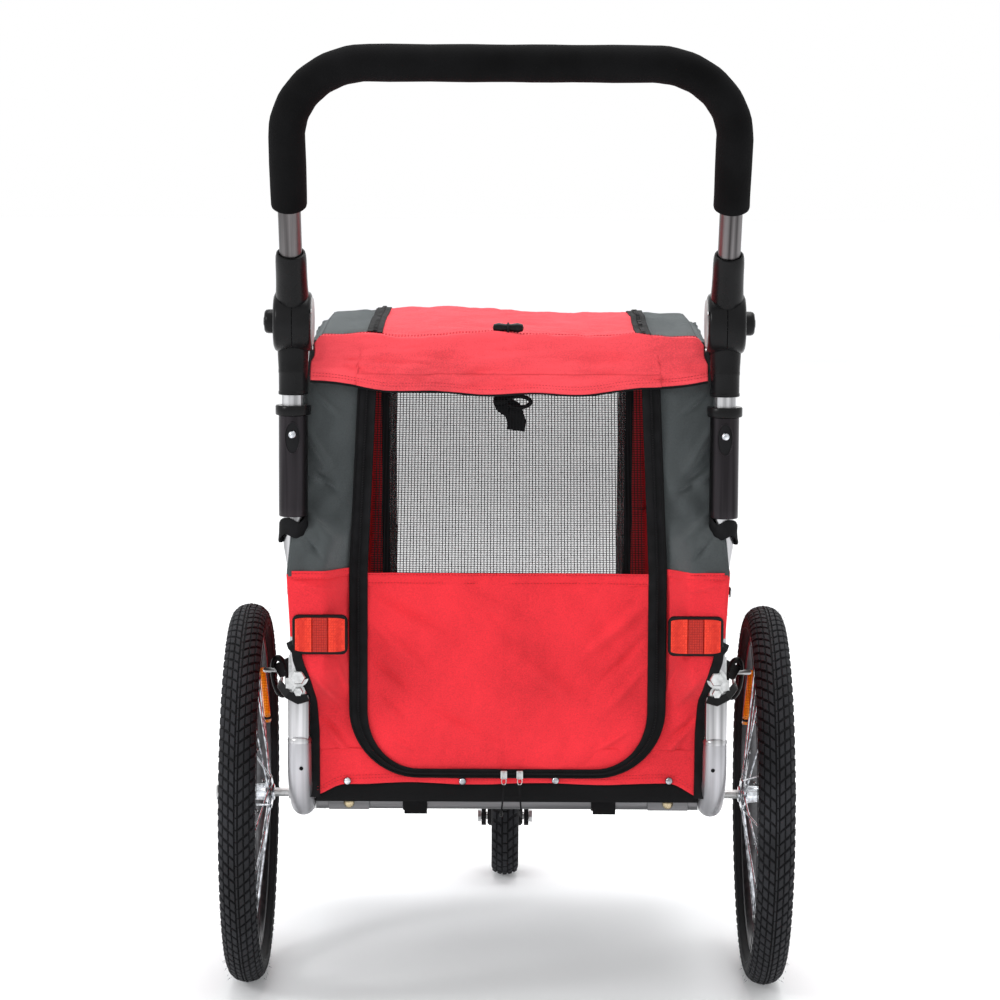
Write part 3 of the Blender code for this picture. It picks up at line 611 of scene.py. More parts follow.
DOOR_FOLDS = (
    (-0.172, 0.52, -0.09, 0.446, 0.008, 0.0062), (-0.172, 0.476, -0.11, 0.424, 0.006, -0.005),
    (-0.172, 0.556, -0.06, 0.5, 0.0075, -0.005), (-0.168, 0.43, -0.124, 0.386, 0.005, 0.0042),
    (0.172, 0.54, 0.086, 0.47, 0.008, 0.006), (0.172, 0.5, 0.112, 0.44, 0.0062, -0.005),
    (0.172, 0.462, 0.12, 0.402, 0.005, 0.0045), (-0.06, 0.56, 0.03, 0.52, 0.009, 0.0042),
    (0.02, 0.47, 0.1, 0.41, 0.01, 0.0045), (-0.09, 0.41, -0.01, 0.372, 0.008, -0.004),
    (-0.15, 0.374, -0.11, 0.352, 0.0035, 0.003), (0.15, 0.38, 0.106, 0.352, 0.0035, 0.003),
)
# half the rear wall's width, read by height
EDGE = ((0.3, 0.2445), (0.38, 0.245), (0.42, 0.248), (0.45, 0.255), (0.475, 0.264), (0.5, 0.268))
EDGE += ((0.583, 0.273), (0.62, 0.269), (0.7, 0.262), (0.82, 0.25), (0.875, 0.244))
COVER = 0.0365  # how far the cloth stands out over the handle posts
# the door band: half its outer width at the top and at the seam, and its own width
BAND_OUT_TOP, BAND_OUT, BAND = 0.187, 0.1985, 0.023
BAND_LOW = 0.0105  # the band's width along the door's lower edge
CORNER = 0.088  # the radius of its lower corners
BEND_Z = DOOR_LOW - 0.005 + CORNER  # below this height the band turns in


def rear_y(x, z):
    """The rear cloth's plane, with the swell over the handle posts."""
    cover = ease((abs(x) - 0.196) / 0.036) * ease((z - 0.405) / 0.06) * (1 - ease((z - 0.622) / 0.034))
    return REAR_Y - 0.0015 - COVER * cover


def door_edge(z):
    """Half the door opening's width, out to the band's outer edge."""
    straight = along_table(z, ((0.583, BAND_OUT), (0.83, BAND_OUT_TOP)))
    if z >= BEND_Z:
        return straight
    drop = min(1.0, (BEND_Z - z) / CORNER)
    return BAND_OUT - CORNER + CORNER * (1 - drop * drop) ** 0.5


def rear_side(s, z0, z1, seed):
    """The cloth between the door band and the cabin's edge."""

    def surface(u, v):
        z = z0 + (z1 - z0) * v
        inner, outer = door_edge(z) - 0.006, along_table(z, EDGE)
        x = inner + (outer - inner) * u
        fullness = sin(pi * u) * 0.004 * (0.4 + 0.6 * sin(pi * v))
        pull = 0.0042 * exp(-(((z - 0.65) / 0.06) ** 2)) * sin(x * 130 + z * 95) * sin(pi * u)
        loose = 1 - ease((x - 0.186) / 0.014) * ease((z - 0.462) / 0.02) * (1 - ease((z - 0.548) / 0.02))
        folds = ridges(x, z, SLATE_FOLDS if z > SEAM_Z else RED_FOLDS) * sin(pi * u) ** 0.35
        creases = crease(x, z * 0.6, seed, 0.055, 0.0046) * sin(pi * u) ** 0.5
        y = rear_y(x, z) - (fullness + folds + creases - pull) * loose
        return Vector((s * x, y, z))

    return surface


def hem_z(x):
    """The height of the rear hem: nearly straight, falling to a point at each corner."""
    return HEM_LOW + 0.001 + 0.0012 * sin(x * 40) - 0.0165 * ease((abs(x) - 0.198) / 0.044) ** 1.3


def rear_cloth():
    """The rear wall round the door: slate above the seam, red below it, the hem and its snaps."""
    for side, s in SIDES:
        grid(f"rear_slate_{side}", rear_side(s, SEAM_Z, 0.872, 3 + s), 40, 120, SLATE, "chassis",
             squash=True)
        grid(f"rear_red_{side}", rear_side(s, DOOR_LOW + 0.03, SEAM_Z + 0.004, 7 + s), 40, 90, RED,
             "chassis")
        seam = [Vector((s * x, rear_y(x, SEAM_Z) - 0.003, SEAM_Z + 0.002)) for x in steps(0.196, 0.0025, 30)]
        sweep(f"seam_hem_{side}", seam, 0.01, 0.0018, REARWARD, RED, "chassis")
        for row, dz in enumerate((-0.0015, 0.004)):
            stitches(f"seam_stitch_{row}_{side}", shifted(seam, y=-0.0011, z=dz - 0.002), "chassis")

    def skirt(u, v):
        z_low = hem_z((2 * u - 1) * 0.244)
        x = (2 * u - 1) * (0.244 + 0.003 * (1 - v) * abs(2 * u - 1) ** 6)
        z = z_low + (DOOR_LOW + 0.031 - z_low) * v
        y = rear_y(x, z) - 0.002 * sin(pi * u * 4) ** 2 * (1 - v) - crease(x, z, 2.2, 0.05, 0.0022) - 0.0006
        edge = door_edge(z)
        if abs(x) < edge and z > DOOR_LOW - 0.004:
            y += 0.002
        return Vector((x, y, z))

    grid("rear_hem_panel", skirt, 150, 22, RED, "chassis", stands_for=("rear_panel",))
    hem = [Vector((x, rear_y(x, 0.324) - 0.0042, hem_z(x))) for x in steps(-0.238, 0.004, 120)]
    for row, dz in enumerate((0.0075, 0.0115)):
        stitches(f"hem_stitch_{row}", shifted(hem, y=-0.0004, z=dz), "chassis")
    for k, x in enumerate((-0.201, -0.056, 0.061, 0.204)):
        spot = Vector((x, REAR_Y - 0.007, hem_z(x) + 0.0042))
        ball = [(0.0001, 0.0024), (0.0024, 0.0021), (0.0042, 0.0009), (0.0049, -0.0004), (0.0049, -0.0016)]
        lathe(f"hem_snap_{k}", ball, spot, REARWARD, CHROME, "chassis", 24)
    for side, s in SIDES:
        edge = []
        for z in steps(TUB_LOW - 0.004, 0.006, 33):
            x = along_table(z, EDGE) - 0.004
            edge.append((x + 0.001, rear_y(x, z) - 0.003, z))
        tip = [(0.268, rear_y(0.268, 0.494) - 0.002, 0.4935), (0.27, rear_y(0.268, 0.5) + 0.006, 0.4975)]
        sweep(f"cutout_binding_{side}", mirrored(edge + tip, s), 0.0125, 0.0032, REARWARD, TAPE, "chassis")
        red_rows, slate_rows = steps(0.505, 0.006, 14), steps(SEAM_Z, 0.008, 36)
        for label, mat, heights in (("", RED, red_rows), ("_upper", SLATE, slate_rows)):
            outer = [(along_table(z, EDGE) + 0.0004, rear_y(along_table(z, EDGE), z) + 0.0012, z)
                     for z in heights]
            piping(f"corner_piping{label}_{side}", mirrored(outer, s), 0.004, REARWARD, mat,
                   squash=mat is SLATE)


def band_path(z_from, z_to, inset, lift):
    """Half of the door band's path, from the top down to the middle of the lower edge."""
    path, z = [], z_to
    while z > max(z_from, BEND_Z):
        path.append(Vector((door_edge(z) - inset, 0, z)))
        z -= 0.008
    if z_from < DOOR_LOW:
        centre = Vector((BAND_OUT - CORNER, 0, BEND_Z))
        for k in range(17):
            t = pi / 2 * k / 16
            bring = inset + (BAND_LOW / 2 - BAND / 2) * ease(k / 16) * (inset / (BAND / 2))
            path.append(centre + Vector((cos(t), 0, -sin(t))) * (CORNER - bring))
        left_z = path[-1].z
        path += [Vector((x, 0, left_z)) for x in [centre.x * (1 - k / 12) for k in range(1, 13)]]
    else:
        path.append(Vector((door_edge(z_from) - inset, 0, z_from)))
    for p in path:
        p.y = rear_y(0, p.z) - lift
    return path


def rear_door():
    """The zipped door: mesh window above, red panel below, and the zip round it."""
    for side, s in SIDES:
        parts = (("upper", SEAM_Z - 0.0005, 0.838, True), ("lower", 0.0, SEAM_Z + 0.001, False))
        for part, z0, z1, folds in parts:
            rise = 0.0 if folds else 0.0003
            for tape, inset, body in (("outer", 0.006, "chassis"), ("inner", BAND - 0.006, "rear_door")):
                path = band_path(z0, z1, inset, 0.004 + rise)
                narrow = [0.0118 if p.z > BEND_Z or part == "upper" else
                          0.0118 - 0.0062 * ease((DOOR_LOW + CORNER - p.z) / CORNER) for p in path]
                sweep(f"zip_tape_{tape}_{part}_{side}", mirrored(path, s), narrow, 0.0022, REARWARD, TAPE,
                      body, squash=folds)
            path = band_path(z0, z1, BAND / 2, 0.0062 + rise)
            teeth = []
            for here, along in resampled(mirrored(path, s), 0.0021):
                turn = Vector(along).to_track_quat("X", "Y").to_matrix().to_4x4()
                teeth.append(block((0.0014, 0.0022, 0.0052), here, turn, 0.25))
            merged(f"zip_coil_{part}_{side}", teeth, PLASTIC_MATT, "rear_door", smooth=0, squash=folds)
            edge = band_path(z0, z1, 0.0012, 0.0052 + rise)
            piping(f"zip_piping_{part}_{side}", mirrored(edge, s), 0.003, REARWARD, BLACK_CLOTH,
                   squash=folds)

    def panel(u, v):
        z = DOOR_LOW + 0.001 + (SEAM_Z - 0.004 - DOOR_LOW) * v
        half = door_edge(z) - (BAND - 0.01 if z > DOOR_LOW + CORNER else 0.01)
        x = (2 * u - 1) * half
        swell = 0.007 * sin(pi * u) ** 0.6 * sin(pi * v) ** 0.6
        folds = 0.0016 * sin(x * 30 + 2.5 * sin(z * 24)) * v + crease(x, z, 5.1, 0.075, 0.0056)
        folds += ridges(x, z, DOOR_FOLDS)
        return Vector((x, rear_y(0, z) + 0.0002 - swell - folds * sin(pi * u) ** 0.3, z))

    panel_ob = grid("door_red_panel", panel, 150, 100, RED, "rear_door", stands_for=("rear_door",))
    top = shifted([panel(u, 1.0) for u in spread(0, 1, 80)], y=-0.0016)
    sweep("door_panel_hem", shifted(top, z=-0.004), 0.015, 0.0016, REARWARD, RED, "rear_door")
    for row, dz in enumerate((0.0015, -0.009)):
        stitches(f"door_hem_stitch_{row}", shifted(top, y=-0.0012, z=dz), "rear_door")
    net("rear_window_net", 0.172, 0.166, SEAM_Z - 0.006, 0.824, Matrix.Translation((0, REAR_Y + 0.0005, 0)),
        "rear_door")


def net(name, low_half, top_half, z0, z1, place, body, warp=0.004, weft=0.0029, squash=True):
    """A real net: crossed yarns, finer along than across."""
    shapes = []
    count = int(2 * low_half / warp)
    for k in range(1, count):
        f = 2 * k / count - 1
        shapes.append(yarn(Vector((f * low_half, 0, z0)), Vector((f * top_half, 0, z1)), 0.001, 0.0004, 6,
                           place, k))
    rows = int((z1 - z0) / weft)
    for k in range(rows + 1):
        f = k / rows
        half = low_half + (top_half - low_half) * f
        z = z0 + (z1 - z0) * f
        shapes.append(yarn(Vector((-half, 0, z)), Vector((half, 0, z)), 0.0007, -0.0003, 10, place, k + 0.5))
    return merged(name, shapes, NET, body, squash=squash, smooth=0)


def yarn(a, b, width, lift, pieces, place, seed):
    """One flat yarn, with a slight waver."""
    along = (b - a).normalized()
    side = along.cross(Vector(REARWARD)).normalized() * (width / 2)
    verts = []
    for k in range(pieces + 1):
        p = a.lerp(b, k / pieces) + Vector((0, -lift, 0))
        p += side * (0.35 * noise.noise(Vector((seed * 3.7, k * 0.6, 1.0))))
        p.y -= 0.0018 * sin(pi * k / pieces) ** 2
        for corner in (p - side, p - side * 0.6 - Vector((0, width * 0.25, 0)),
                       p + side * 0.6 - Vector((0, width * 0.25, 0)), p + side):
            verts.append(place @ corner)
    return verts, tube_faces(4, pieces + 1)


def zip_sliders():
    """Two metal sliders at the bottom of the door, each with a cord pull."""
    for k, x in enumerate((-0.004, 0.016)):
        at = Vector((x, rear_y(0, 0.34) - 0.0085, DOOR_LOW - 0.001))
        shapes = [block((0.0085, 0.0042, 0.0105), at, None, 0.3)]
        shapes.append(block((0.003, 0.002, 0.009), at + Vector((0, -0.0036, -0.0005)), None, 0.3))
        merged(f"zip_slider_{k}", shapes, ZINC, "rear_door", smooth=30)
        ring = [at + Vector((0.003 * cos(t), -0.0045, -0.0075 + 0.0045 * sin(t))) for t in around(20)]
        rod(f"zip_ring_{k}", ring, 0.0011, ZINC, "rear_door", 8, closed=True)
        lean = -0.003 if k == 0 else 0.002
        start = at + Vector((0, -0.0048, -0.012))
        points = [start + Vector((lean * (n / 15) ** 1.5, -0.001 * sin(pi * n / 15), -0.034 * n / 15))
                  for n in range(16)]
        curve = bpy.data.curves.new(f"zip_pull_{k}", "CURVE")
        curve.dimensions = "3D"
        curve.bevel_depth = 0.0011
        curve.bevel_resolution = 3
        curve.use_fill_caps = True
        line = curve.splines.new("POLY")
        line.points.add(len(points) - 1)
        for spot, where in zip(line.points, points):
            spot.co = (*where, 1)
        cord = bpy.data.objects.new(f"zip_pull_{k}", curve)
        bpy.context.scene.collection.objects.link(cord)
        curve.materials.append(TAPE)
        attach(cord, "rear_door")
        knot = [(0.0004, -0.005), (0.0016, -0.0042), (0.002, -0.002), (0.0017, 0.0022), (0.0011, 0.004)]
        end = lathe(f"zip_pull_end_{k}", knot, points[-1] + Vector((0, 0, -0.002)), UPWARD, PLASTIC,
                    "rear_door", 16)
        tuple(points[0])


FLAP_Z = joint_height("rear_door_open") + 0.011  # where the valance's lip parts from its upper cloth


def valance():
    """The red cloth that starts on the roof and hangs as a flap over the top of the rear door."""
    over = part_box("roof_hatch")[0][1] - 0.013
    half, start = 0.2465, REAR_Y - 0.006
    lift_half = 0.187

    def lower(x):
        return 0.806 + 0.0165 * (abs(x) / 0.246) ** 1.6 + 0.0016 * sin(x * 52) + 0.0012 * sin(x * 23 + 2)

    def hang(x, z):
        top = on_roof(x, start, 0.0024).z
        f = (z - lower(x)) / (top - lower(x))
        fold_in = crease(x * 0.7, z * 2.2, 8.4, 0.075, 0.0085) + 0.0022 * sin(x * 34 + 60 * z)
        fold_in += crease(x * 0.5, z * 3.0, 2.4, 0.03, 0.003)
        out = 0.0105 * (1 - f) ** 0.8 + fold_in * sin(pi * min(1.0, 0.25 + f * 0.75))
        return Vector((x * (1 - 0.02 * ease((z - 0.842) / 0.014)), start - max(out, -0.0005), z))

    def low_edge(x):
        return FLAP_Z if abs(x) < lift_half else lower(x)

    def upper_cloth(u, v):
        x = (2 * u - 1) * half
        if v > 0.62:
            return on_roof(x * 0.98, start + (over - start) * (v - 0.62) / 0.38, 0.0024)
        top = on_roof(x, start, 0.0024).z
        return hang(x, low_edge(x) + (top - low_edge(x)) * v / 0.62)

    def flap(u, v):
        x = (2 * u - 1) * (lift_half + 0.0024)
        return hang(x, lower(x) + (FLAP_Z - lower(x)) * v) + Vector((0, -0.0005, 0))

    # the valance takes the paler red: painted top light
    cloth = grid("rear_valance", upper_cloth, 240, 40, RED_TOP_LIT, "chassis", thick=0.0018)
    fold(cloth)
    grid("rear_valance_lip", flap, 180, 10, RED_TOP_LIT, "rear_door", thick=0.0018, squash=True)
    for label, x0, x1, body in (
        ("left", -half, -lift_half, "chassis"),
        ("middle", -lift_half, lift_half, "rear_door"),
        ("right", lift_half, half, "chassis"),
    ):
        run = spread(x0, x1, int((x1 - x0) / 0.004))
        low_line = [hang(x, lower(x)) for x in run]
        piping(f"valance_binding_{label}", shifted(low_line, z=-0.0008), 0.0034, REARWARD, BLACK_CLOTH, body,
               squash=True)
        for row, dz in enumerate((0.006, 0.0095)):
            line = [hang(x, lower(x) + dz) for x in run]
            stitches(f"valance_stitch_{row}_{label}", shifted(line, y=-0.0013), body, squash=True)


# ---------------------------------------------------------------- roof
ROOF_FRONT = FRONT_Y - 0.046
ROOF_HALF = 0.2455
HATCH_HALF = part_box("roof_hatch")[1][0]


def roof_z(x, y):
    """The roof's height: a soft crest, sloping down to the front, rounding off at its sides."""
    rear_z, crest_z, front_z = 0.8745, CREST_Z + 0.0015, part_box("roof_panel")[0][2] + 0.005
    t = (y - REAR_Y) / (CREST_Y - REAR_Y)
    if t < 1:
        z = rear_z + (crest_z - rear_z) * (1 - (1 - t) ** 2)
    else:
        f = (y - CREST_Y) / (ROOF_FRONT - CREST_Y)
        z = crest_z + (front_z - crest_z) * (0.35 * f * f + 0.65 * f) * ease(f * 2 + 0.35)
    side = abs(x) / ROOF_HALF
    return z - 0.012 * ease((side - 0.93) / 0.07) ** 1.5 + 0.0035 * (1 - side * side)


def on_roof(x, y, lift=0.0):
    """A point on the roof cloth, with its slow sags and small creases."""
    free = 1 - 0.85 * ease((abs(x) - 0.19) / 0.035)
    free *= 1 - 0.9 * ease((y - (ROOF_FRONT - 0.075)) / 0.06)
    wave = crease(x, y, 4.0, 0.075, 0.004) + crease(x, y, 9.0, 0.2, 0.0075)
    wave += crease(x, y * 2, 5.0, 0.03, 0.0012)
    return Vector((x, y, roof_z(x, y) + wave * free + lift))


def roof():
    """The slate roof with its zipped red hatch."""
    rear, front = REAR_Y - 0.004, ROOF_FRONT
    hatch_rear, hatch_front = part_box("roof_hatch")[0][1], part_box("roof_hatch")[1][1]

    def strip(x0, x1, y0, y1, lift=0.0):
        def surface(u, v):
            return on_roof(x0 + (x1 - x0) * u, y0 + (y1 - y0) * v, lift)

        return surface

    def lengthwise(x, lift, start=hatch_rear, stop=hatch_front):
        return [on_roof(x, y, lift) for y in spread(start, stop, 80)]

    for side, s in SIDES:
        grid(f"roof_slate_{side}", strip(s * HATCH_HALF, s * ROOF_HALF, hatch_rear - 0.016, front), 26, 90,
             SLATE, "chassis", squash=True, stands_for=("roof_panel",) if s > 0 else ())
        piping(f"roof_piping_{side}", lengthwise(s * ROOF_HALF, -0.001, rear, front), 0.005, UPWARD, SLATE,
               sides=10, squash=True)
        stitches(f"roof_stitch_{side}", lengthwise(s * (ROOF_HALF - 0.0115), 0.001, REAR_Y + 0.03, front),
                 "chassis", THREAD_BLACK, UPWARD, squash=True)
        for tape, dx, body in (("outer", 0.0046, "chassis"), ("inner", -0.0046, "roof_hatch")):
            sweep(f"hatch_tape_{tape}_{side}", lengthwise(s * (HATCH_HALF + dx), 0.0026), 0.01, 0.002,
                  UPWARD, TAPE, body, squash=True)
        teeth = [block((0.005, 0.0015, 0.0022), here, None, 0.25)
                 for here, _ in resampled(lengthwise(s * HATCH_HALF, 0.0042), 0.0024)]
        merged(f"hatch_coil_{side}", teeth, PLASTIC_MATT, "roof_hatch", smooth=0, squash=True)
    grid("roof_front_band", strip(-HATCH_HALF - 0.003, HATCH_HALF + 0.003, hatch_front - 0.002, front), 80,
         30, SLATE, "chassis", squash=True)
    # the hatch takes the paler red: painted top light
    hatch = grid("roof_hatch_cloth", strip(-HATCH_HALF + 0.003, HATCH_HALF - 0.003, hatch_rear - 0.012,
                                           hatch_front, 0.0008), 90, 130, RED_TOP_LIT, "roof_hatch",
                 stands_for=("roof_hatch",))
    fold(hatch)
    for row, y in enumerate((REAR_Y - 0.0015, REAR_Y + 0.0045)):
        line = [on_roof(-0.236 + 0.004 * k, y, 0.0038) for k in range(119)]
        stitches(f"roof_seam_stitch_{row}", line, "chassis", facing=UPWARD, squash=True)
    lip = [on_roof(HATCH_HALF * (k / 30 - 1), hatch_front + 0.002, 0.0028) for k in range(61)]
    sweep("hatch_front_tape", lip, 0.018, 0.002, (0, 0.2, 1), TAPE, "roof_hatch", squash=True)


def roof_front_edge():
    """The rolled seam where the roof meets the front wall."""
    line = [on_roof(ROOF_HALF * (k / 60 - 1), ROOF_FRONT - 0.001, -0.0005) for k in range(121)]
    piping("roof_piping_front", line, 0.009, FORWARD, SLATE, sides=12, squash=True)


def roof_toggle():
    """A black toggle button on an elastic loop at the roof's rear seam."""
    at = on_roof(-0.0015, REAR_Y + 0.002, 0.0085)
    barrel = both_ways([(0.0005, -0.0195), (0.0045, -0.018), (0.0062, -0.012), (0.005, -0.004)])
    lathe("roof_toggle", barrel, at, (1, 0, 0), PLASTIC, "chassis", 28, squash=True)
    loop = [at + Vector((0, 0.012 * sin(t) + 0.003, 0.0065 * cos(t) - 0.001)) for t in around(24)]
    rod("toggle_loop", loop, 0.0026, TAPE, "chassis", 10, closed=True, squash=True)


# ---------------------------------------------------------------- cabin sides, front and tub
SIDE_FOLDS = (
    (REAR_Y + 0.01, 0.78, REAR_Y + 0.07, 0.7, 0.006, 0.004),
    (REAR_Y + 0.01, 0.56, REAR_Y + 0.15, 0.5, 0.008, 0.0045),
    (REAR_Y + 0.2, 0.575, REAR_Y + 0.33, 0.48, 0.01, -0.004),
    (REAR_Y + 0.42, 0.57, REAR_Y + 0.33, 0.49, 0.009, 0.0042),
    (FRONT_Y - 0.03, 0.7, FRONT_Y - 0.11, 0.6, 0.007, 0.0045),
    (FRONT_Y - 0.04, 0.56, FRONT_Y - 0.16, 0.48, 0.008, 0.0045),
    (REAR_Y + 0.12, 0.43, REAR_Y + 0.22, 0.35, 0.008, 0.004),
    (FRONT_Y - 0.12, 0.44, FRONT_Y - 0.22, 0.35, 0.009, 0.0045),
    (REAR_Y + 0.38, 0.44, REAR_Y + 0.33, 0.34, 0.008, -0.004),
)


SIDE_WIDTHS = ((0.3, 0.2455), (0.44, 0.2625), (0.583, 0.2715), (0.7, 0.263), (0.82, 0.2515), (0.875, 0.2455))


def side_x(z):
    """Half the cabin's width at a height."""
    return along_table(z, SIDE_WIDTHS)


FRONT_BEND_Z, FRONT_LEAN = 0.454, 0.048 / 0.334  # above this height the front wall leans back, by this slope


def front_y(z):
    """The front cloth's plane at a height."""
    return FRONT_Y + 0.0025 - max(0.0, z - FRONT_BEND_Z) * FRONT_LEAN


def side_top(y):
    """Where a side meets the roof."""
    return roof_z(ROOF_HALF, y) + 0.001


def cabin_sides():
    """Slate and red side walls on the folding frames, with a net window, and the skirts below them."""
    win_low, win_gap = 0.61, 0.04
    band_low, skirt_high = 0.4535, 0.46
    warp, weft = 0.0055, 0.0045
    y0 = REAR_Y + 0.001

    def spot(s, y, z, seed, amount=1.0):
        fullness = 0.004 * sin(pi * max(0.0, min(1.0, (y - y0) / (FRONT_Y - y0))))
        wave = (crease(y, z, seed, 0.09, 0.005) + ridges(y, z, SIDE_FOLDS)) * amount
        return Vector((s * (side_x(z) + 0.0005 + fullness * 0.6 + wave * 0.8), y, z))

    def win_high(y):
        return side_top(y) - win_gap

    ya, yb = REAR_Y + 0.075, FRONT_Y - 0.12
    for side, s in SIDES:
        body, seed, red_seed = f"{side}_side_frame", 1.3 + s, 2.6 + s

        def patch(f_low, f_high, y_from, y_to, seed, s=s):
            def surface(u, v):
                y = y_from + (y_to - y_from) * u
                z = f_low(y) + (f_high(y) - f_low(y)) * v
                return spot(s, y, z, seed)

            return surface

        def front_edge_at(z):
            return front_y(z) - 0.004

        def seam_line(y):
            return SEAM_Z

        grid(f"side_slate_rear_{side}", patch(seam_line, side_top, y0, ya, seed), 16, 60, SLATE, body,
             stands_for=(f"side_panel_{side}",))
        grid(f"side_slate_low_{side}", patch(seam_line, lambda y: win_low, ya, yb, seed), 70, 8, SLATE, body)
        grid(f"side_slate_top_{side}", patch(win_high, side_top, ya, yb, seed), 70, 10, SLATE, body)

        def front_patch(u, v, s=s, seed=seed):
            z = SEAM_Z + (side_top(yb + (ROOF_FRONT - yb) * u) - SEAM_Z) * v
            y = yb + (front_edge_at(z) - yb) * u
            return spot(s, y, z, seed, 1 - u)

        grid(f"side_slate_front_{side}", front_patch, 24, 60, SLATE, body)

        def red_band(u, v, s=s, seed=red_seed):
            z = band_low + (SEAM_Z + 0.003 - band_low) * v
            y = y0 + 0.002 + (front_edge_at(z) - y0 - 0.002) * u
            return spot(s, y, z, seed) + Vector((s * 0.0008, 0, 0))

        grid(f"side_red_{side}", red_band, 160, 30, RED, body)
        seam = [spot(s, y, SEAM_Z, red_seed) for y in spread(y0, front_edge_at(SEAM_Z), 120)]
        outward = (s, 0, 0)
        sweep(f"side_seam_hem_{side}", shifted(seam, s * 0.0026, 0, -0.0015), 0.012, 0.0026, outward, RED,
              body)
        for row, dz in enumerate((0.0, -0.006)):
            line = [spot(s, y, SEAM_Z + dz, red_seed) for y in steps(y0 + 0.006, 0.004, 180)]
            stitches(f"side_seam_stitch_{row}_{side}", shifted(line, s * 0.0042), body, THREAD_RED, outward)
        for row, z in enumerate((0.556, 0.53)):
            strip = shifted([spot(s, y, z, red_seed) for y in steps(y0 + 0.004, 0.0065, 108)], s * 0.0036)
            sweep(f"reflective_edge_{row}_{side}", strip, 0.0105, 0.0012, outward, TAPE, body)
            sweep(f"reflective_strip_{row}_{side}", shifted(strip, s * 0.0009), 0.006, 0.001, outward,
                  REFLECTIVE, body)

        corners = [(y, win_low) for y in spread(ya, yb, 40)]
        corners += [(yb, z) for z in spread(win_low, win_high(yb), 16)[1:]]
        corners += [(y, win_high(y)) for y in spread(yb, ya, 40)[1:]]
        corners += [(ya, z) for z in spread(win_high(ya), win_low, 16)[1:-1]]
        rim = [spot(s, y, z, seed) for y, z in corners]
        sweep(f"side_window_binding_{side}", shifted(rim, s * 0.0012), 0.018, 0.003, outward, TAPE, body,
              closed=True)
        shapes = []
        for y in spread(ya, yb, int((yb - ya) / warp))[1:-1]:
            run = [spot(s, y, z, seed) for z in spread(win_low, win_high(y), 8)]
            shapes.append(side_yarn(run, FORWARD, 0.0013))
        for z in steps(win_low, weft, int((win_high(ya) - win_low) / weft))[1:]:
            run = [y for y in spread(ya, yb, 40) if win_high(y) >= z]
            if len(run) > 2:
                shapes.append(side_yarn([spot(s, y, z, seed) for y in run], UPWARD, 0.0009))
        merged(f"side_window_net_{side}", shapes, NET, body, smooth=0)

        def skirt(u, v, s=s):
            z = TUB_LOW + 0.003 + (skirt_high - TUB_LOW - 0.003) * v
            y = REAR_Y + 0.045 + (FRONT_Y - 0.036 - REAR_Y - 0.045) * u
            x = 0.244 + (0.2575 - 0.244) * ease((z - 0.335) / 0.1)
            wave = crease(y, z, 3.3 + s, 0.06, 0.003) + ridges(y, z, SIDE_FOLDS) * ease((z - TUB_LOW) / 0.03)
            return Vector((s * (x + wave * ease((skirt_high - z) / 0.012)), y, z))

        grid(f"side_skirt_{side}", skirt, 110, 22, RED, "chassis")
        for v, label in ((0.0, "low"), (1.0, "high")):
            edge = [skirt(u, v) for u in spread(0, 1, 90)]
            sweep(f"skirt_binding_{label}_{side}", shifted(edge, s * 0.001), 0.012, 0.003, outward, TAPE,
                  "chassis")
        line = [skirt(u, 0.1) for u in spread(0, 1, 90)]
        stitches(f"skirt_stitch_{side}", shifted(line, s * 0.0012), "chassis", THREAD_RED, outward)


def side_yarn(points, across, width):
    """A flat yarn of the side windows."""
    side = Vector(across) * (width / 2)
    verts = []
    for p in points:
        out = Vector((0.0005 if p.x > 0 else -0.0005, 0, 0))
        verts += [p - side, p - side * 0.6 + out, p + side * 0.6 + out, p + side]
    return verts, tube_faces(4, len(points))


FRONT_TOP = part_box("roof_panel")[0][2] + 0.0045
FRONT_BASE = TUB_LOW + 0.01
FRONT_FOLDS = (
    (-0.2, 0.44, -0.12, 0.38, 0.007, 0.0048), (0.19, 0.45, 0.11, 0.372, 0.007, 0.0048),
    (-0.06, 0.45, 0.04, 0.4, 0.008, -0.004), (0.236, 0.64, 0.196, 0.56, 0.006, 0.0042),
    (-0.236, 0.7, -0.196, 0.61, 0.006, 0.0042), (-0.236, 0.56, -0.196, 0.5, 0.005, -0.0036),
)


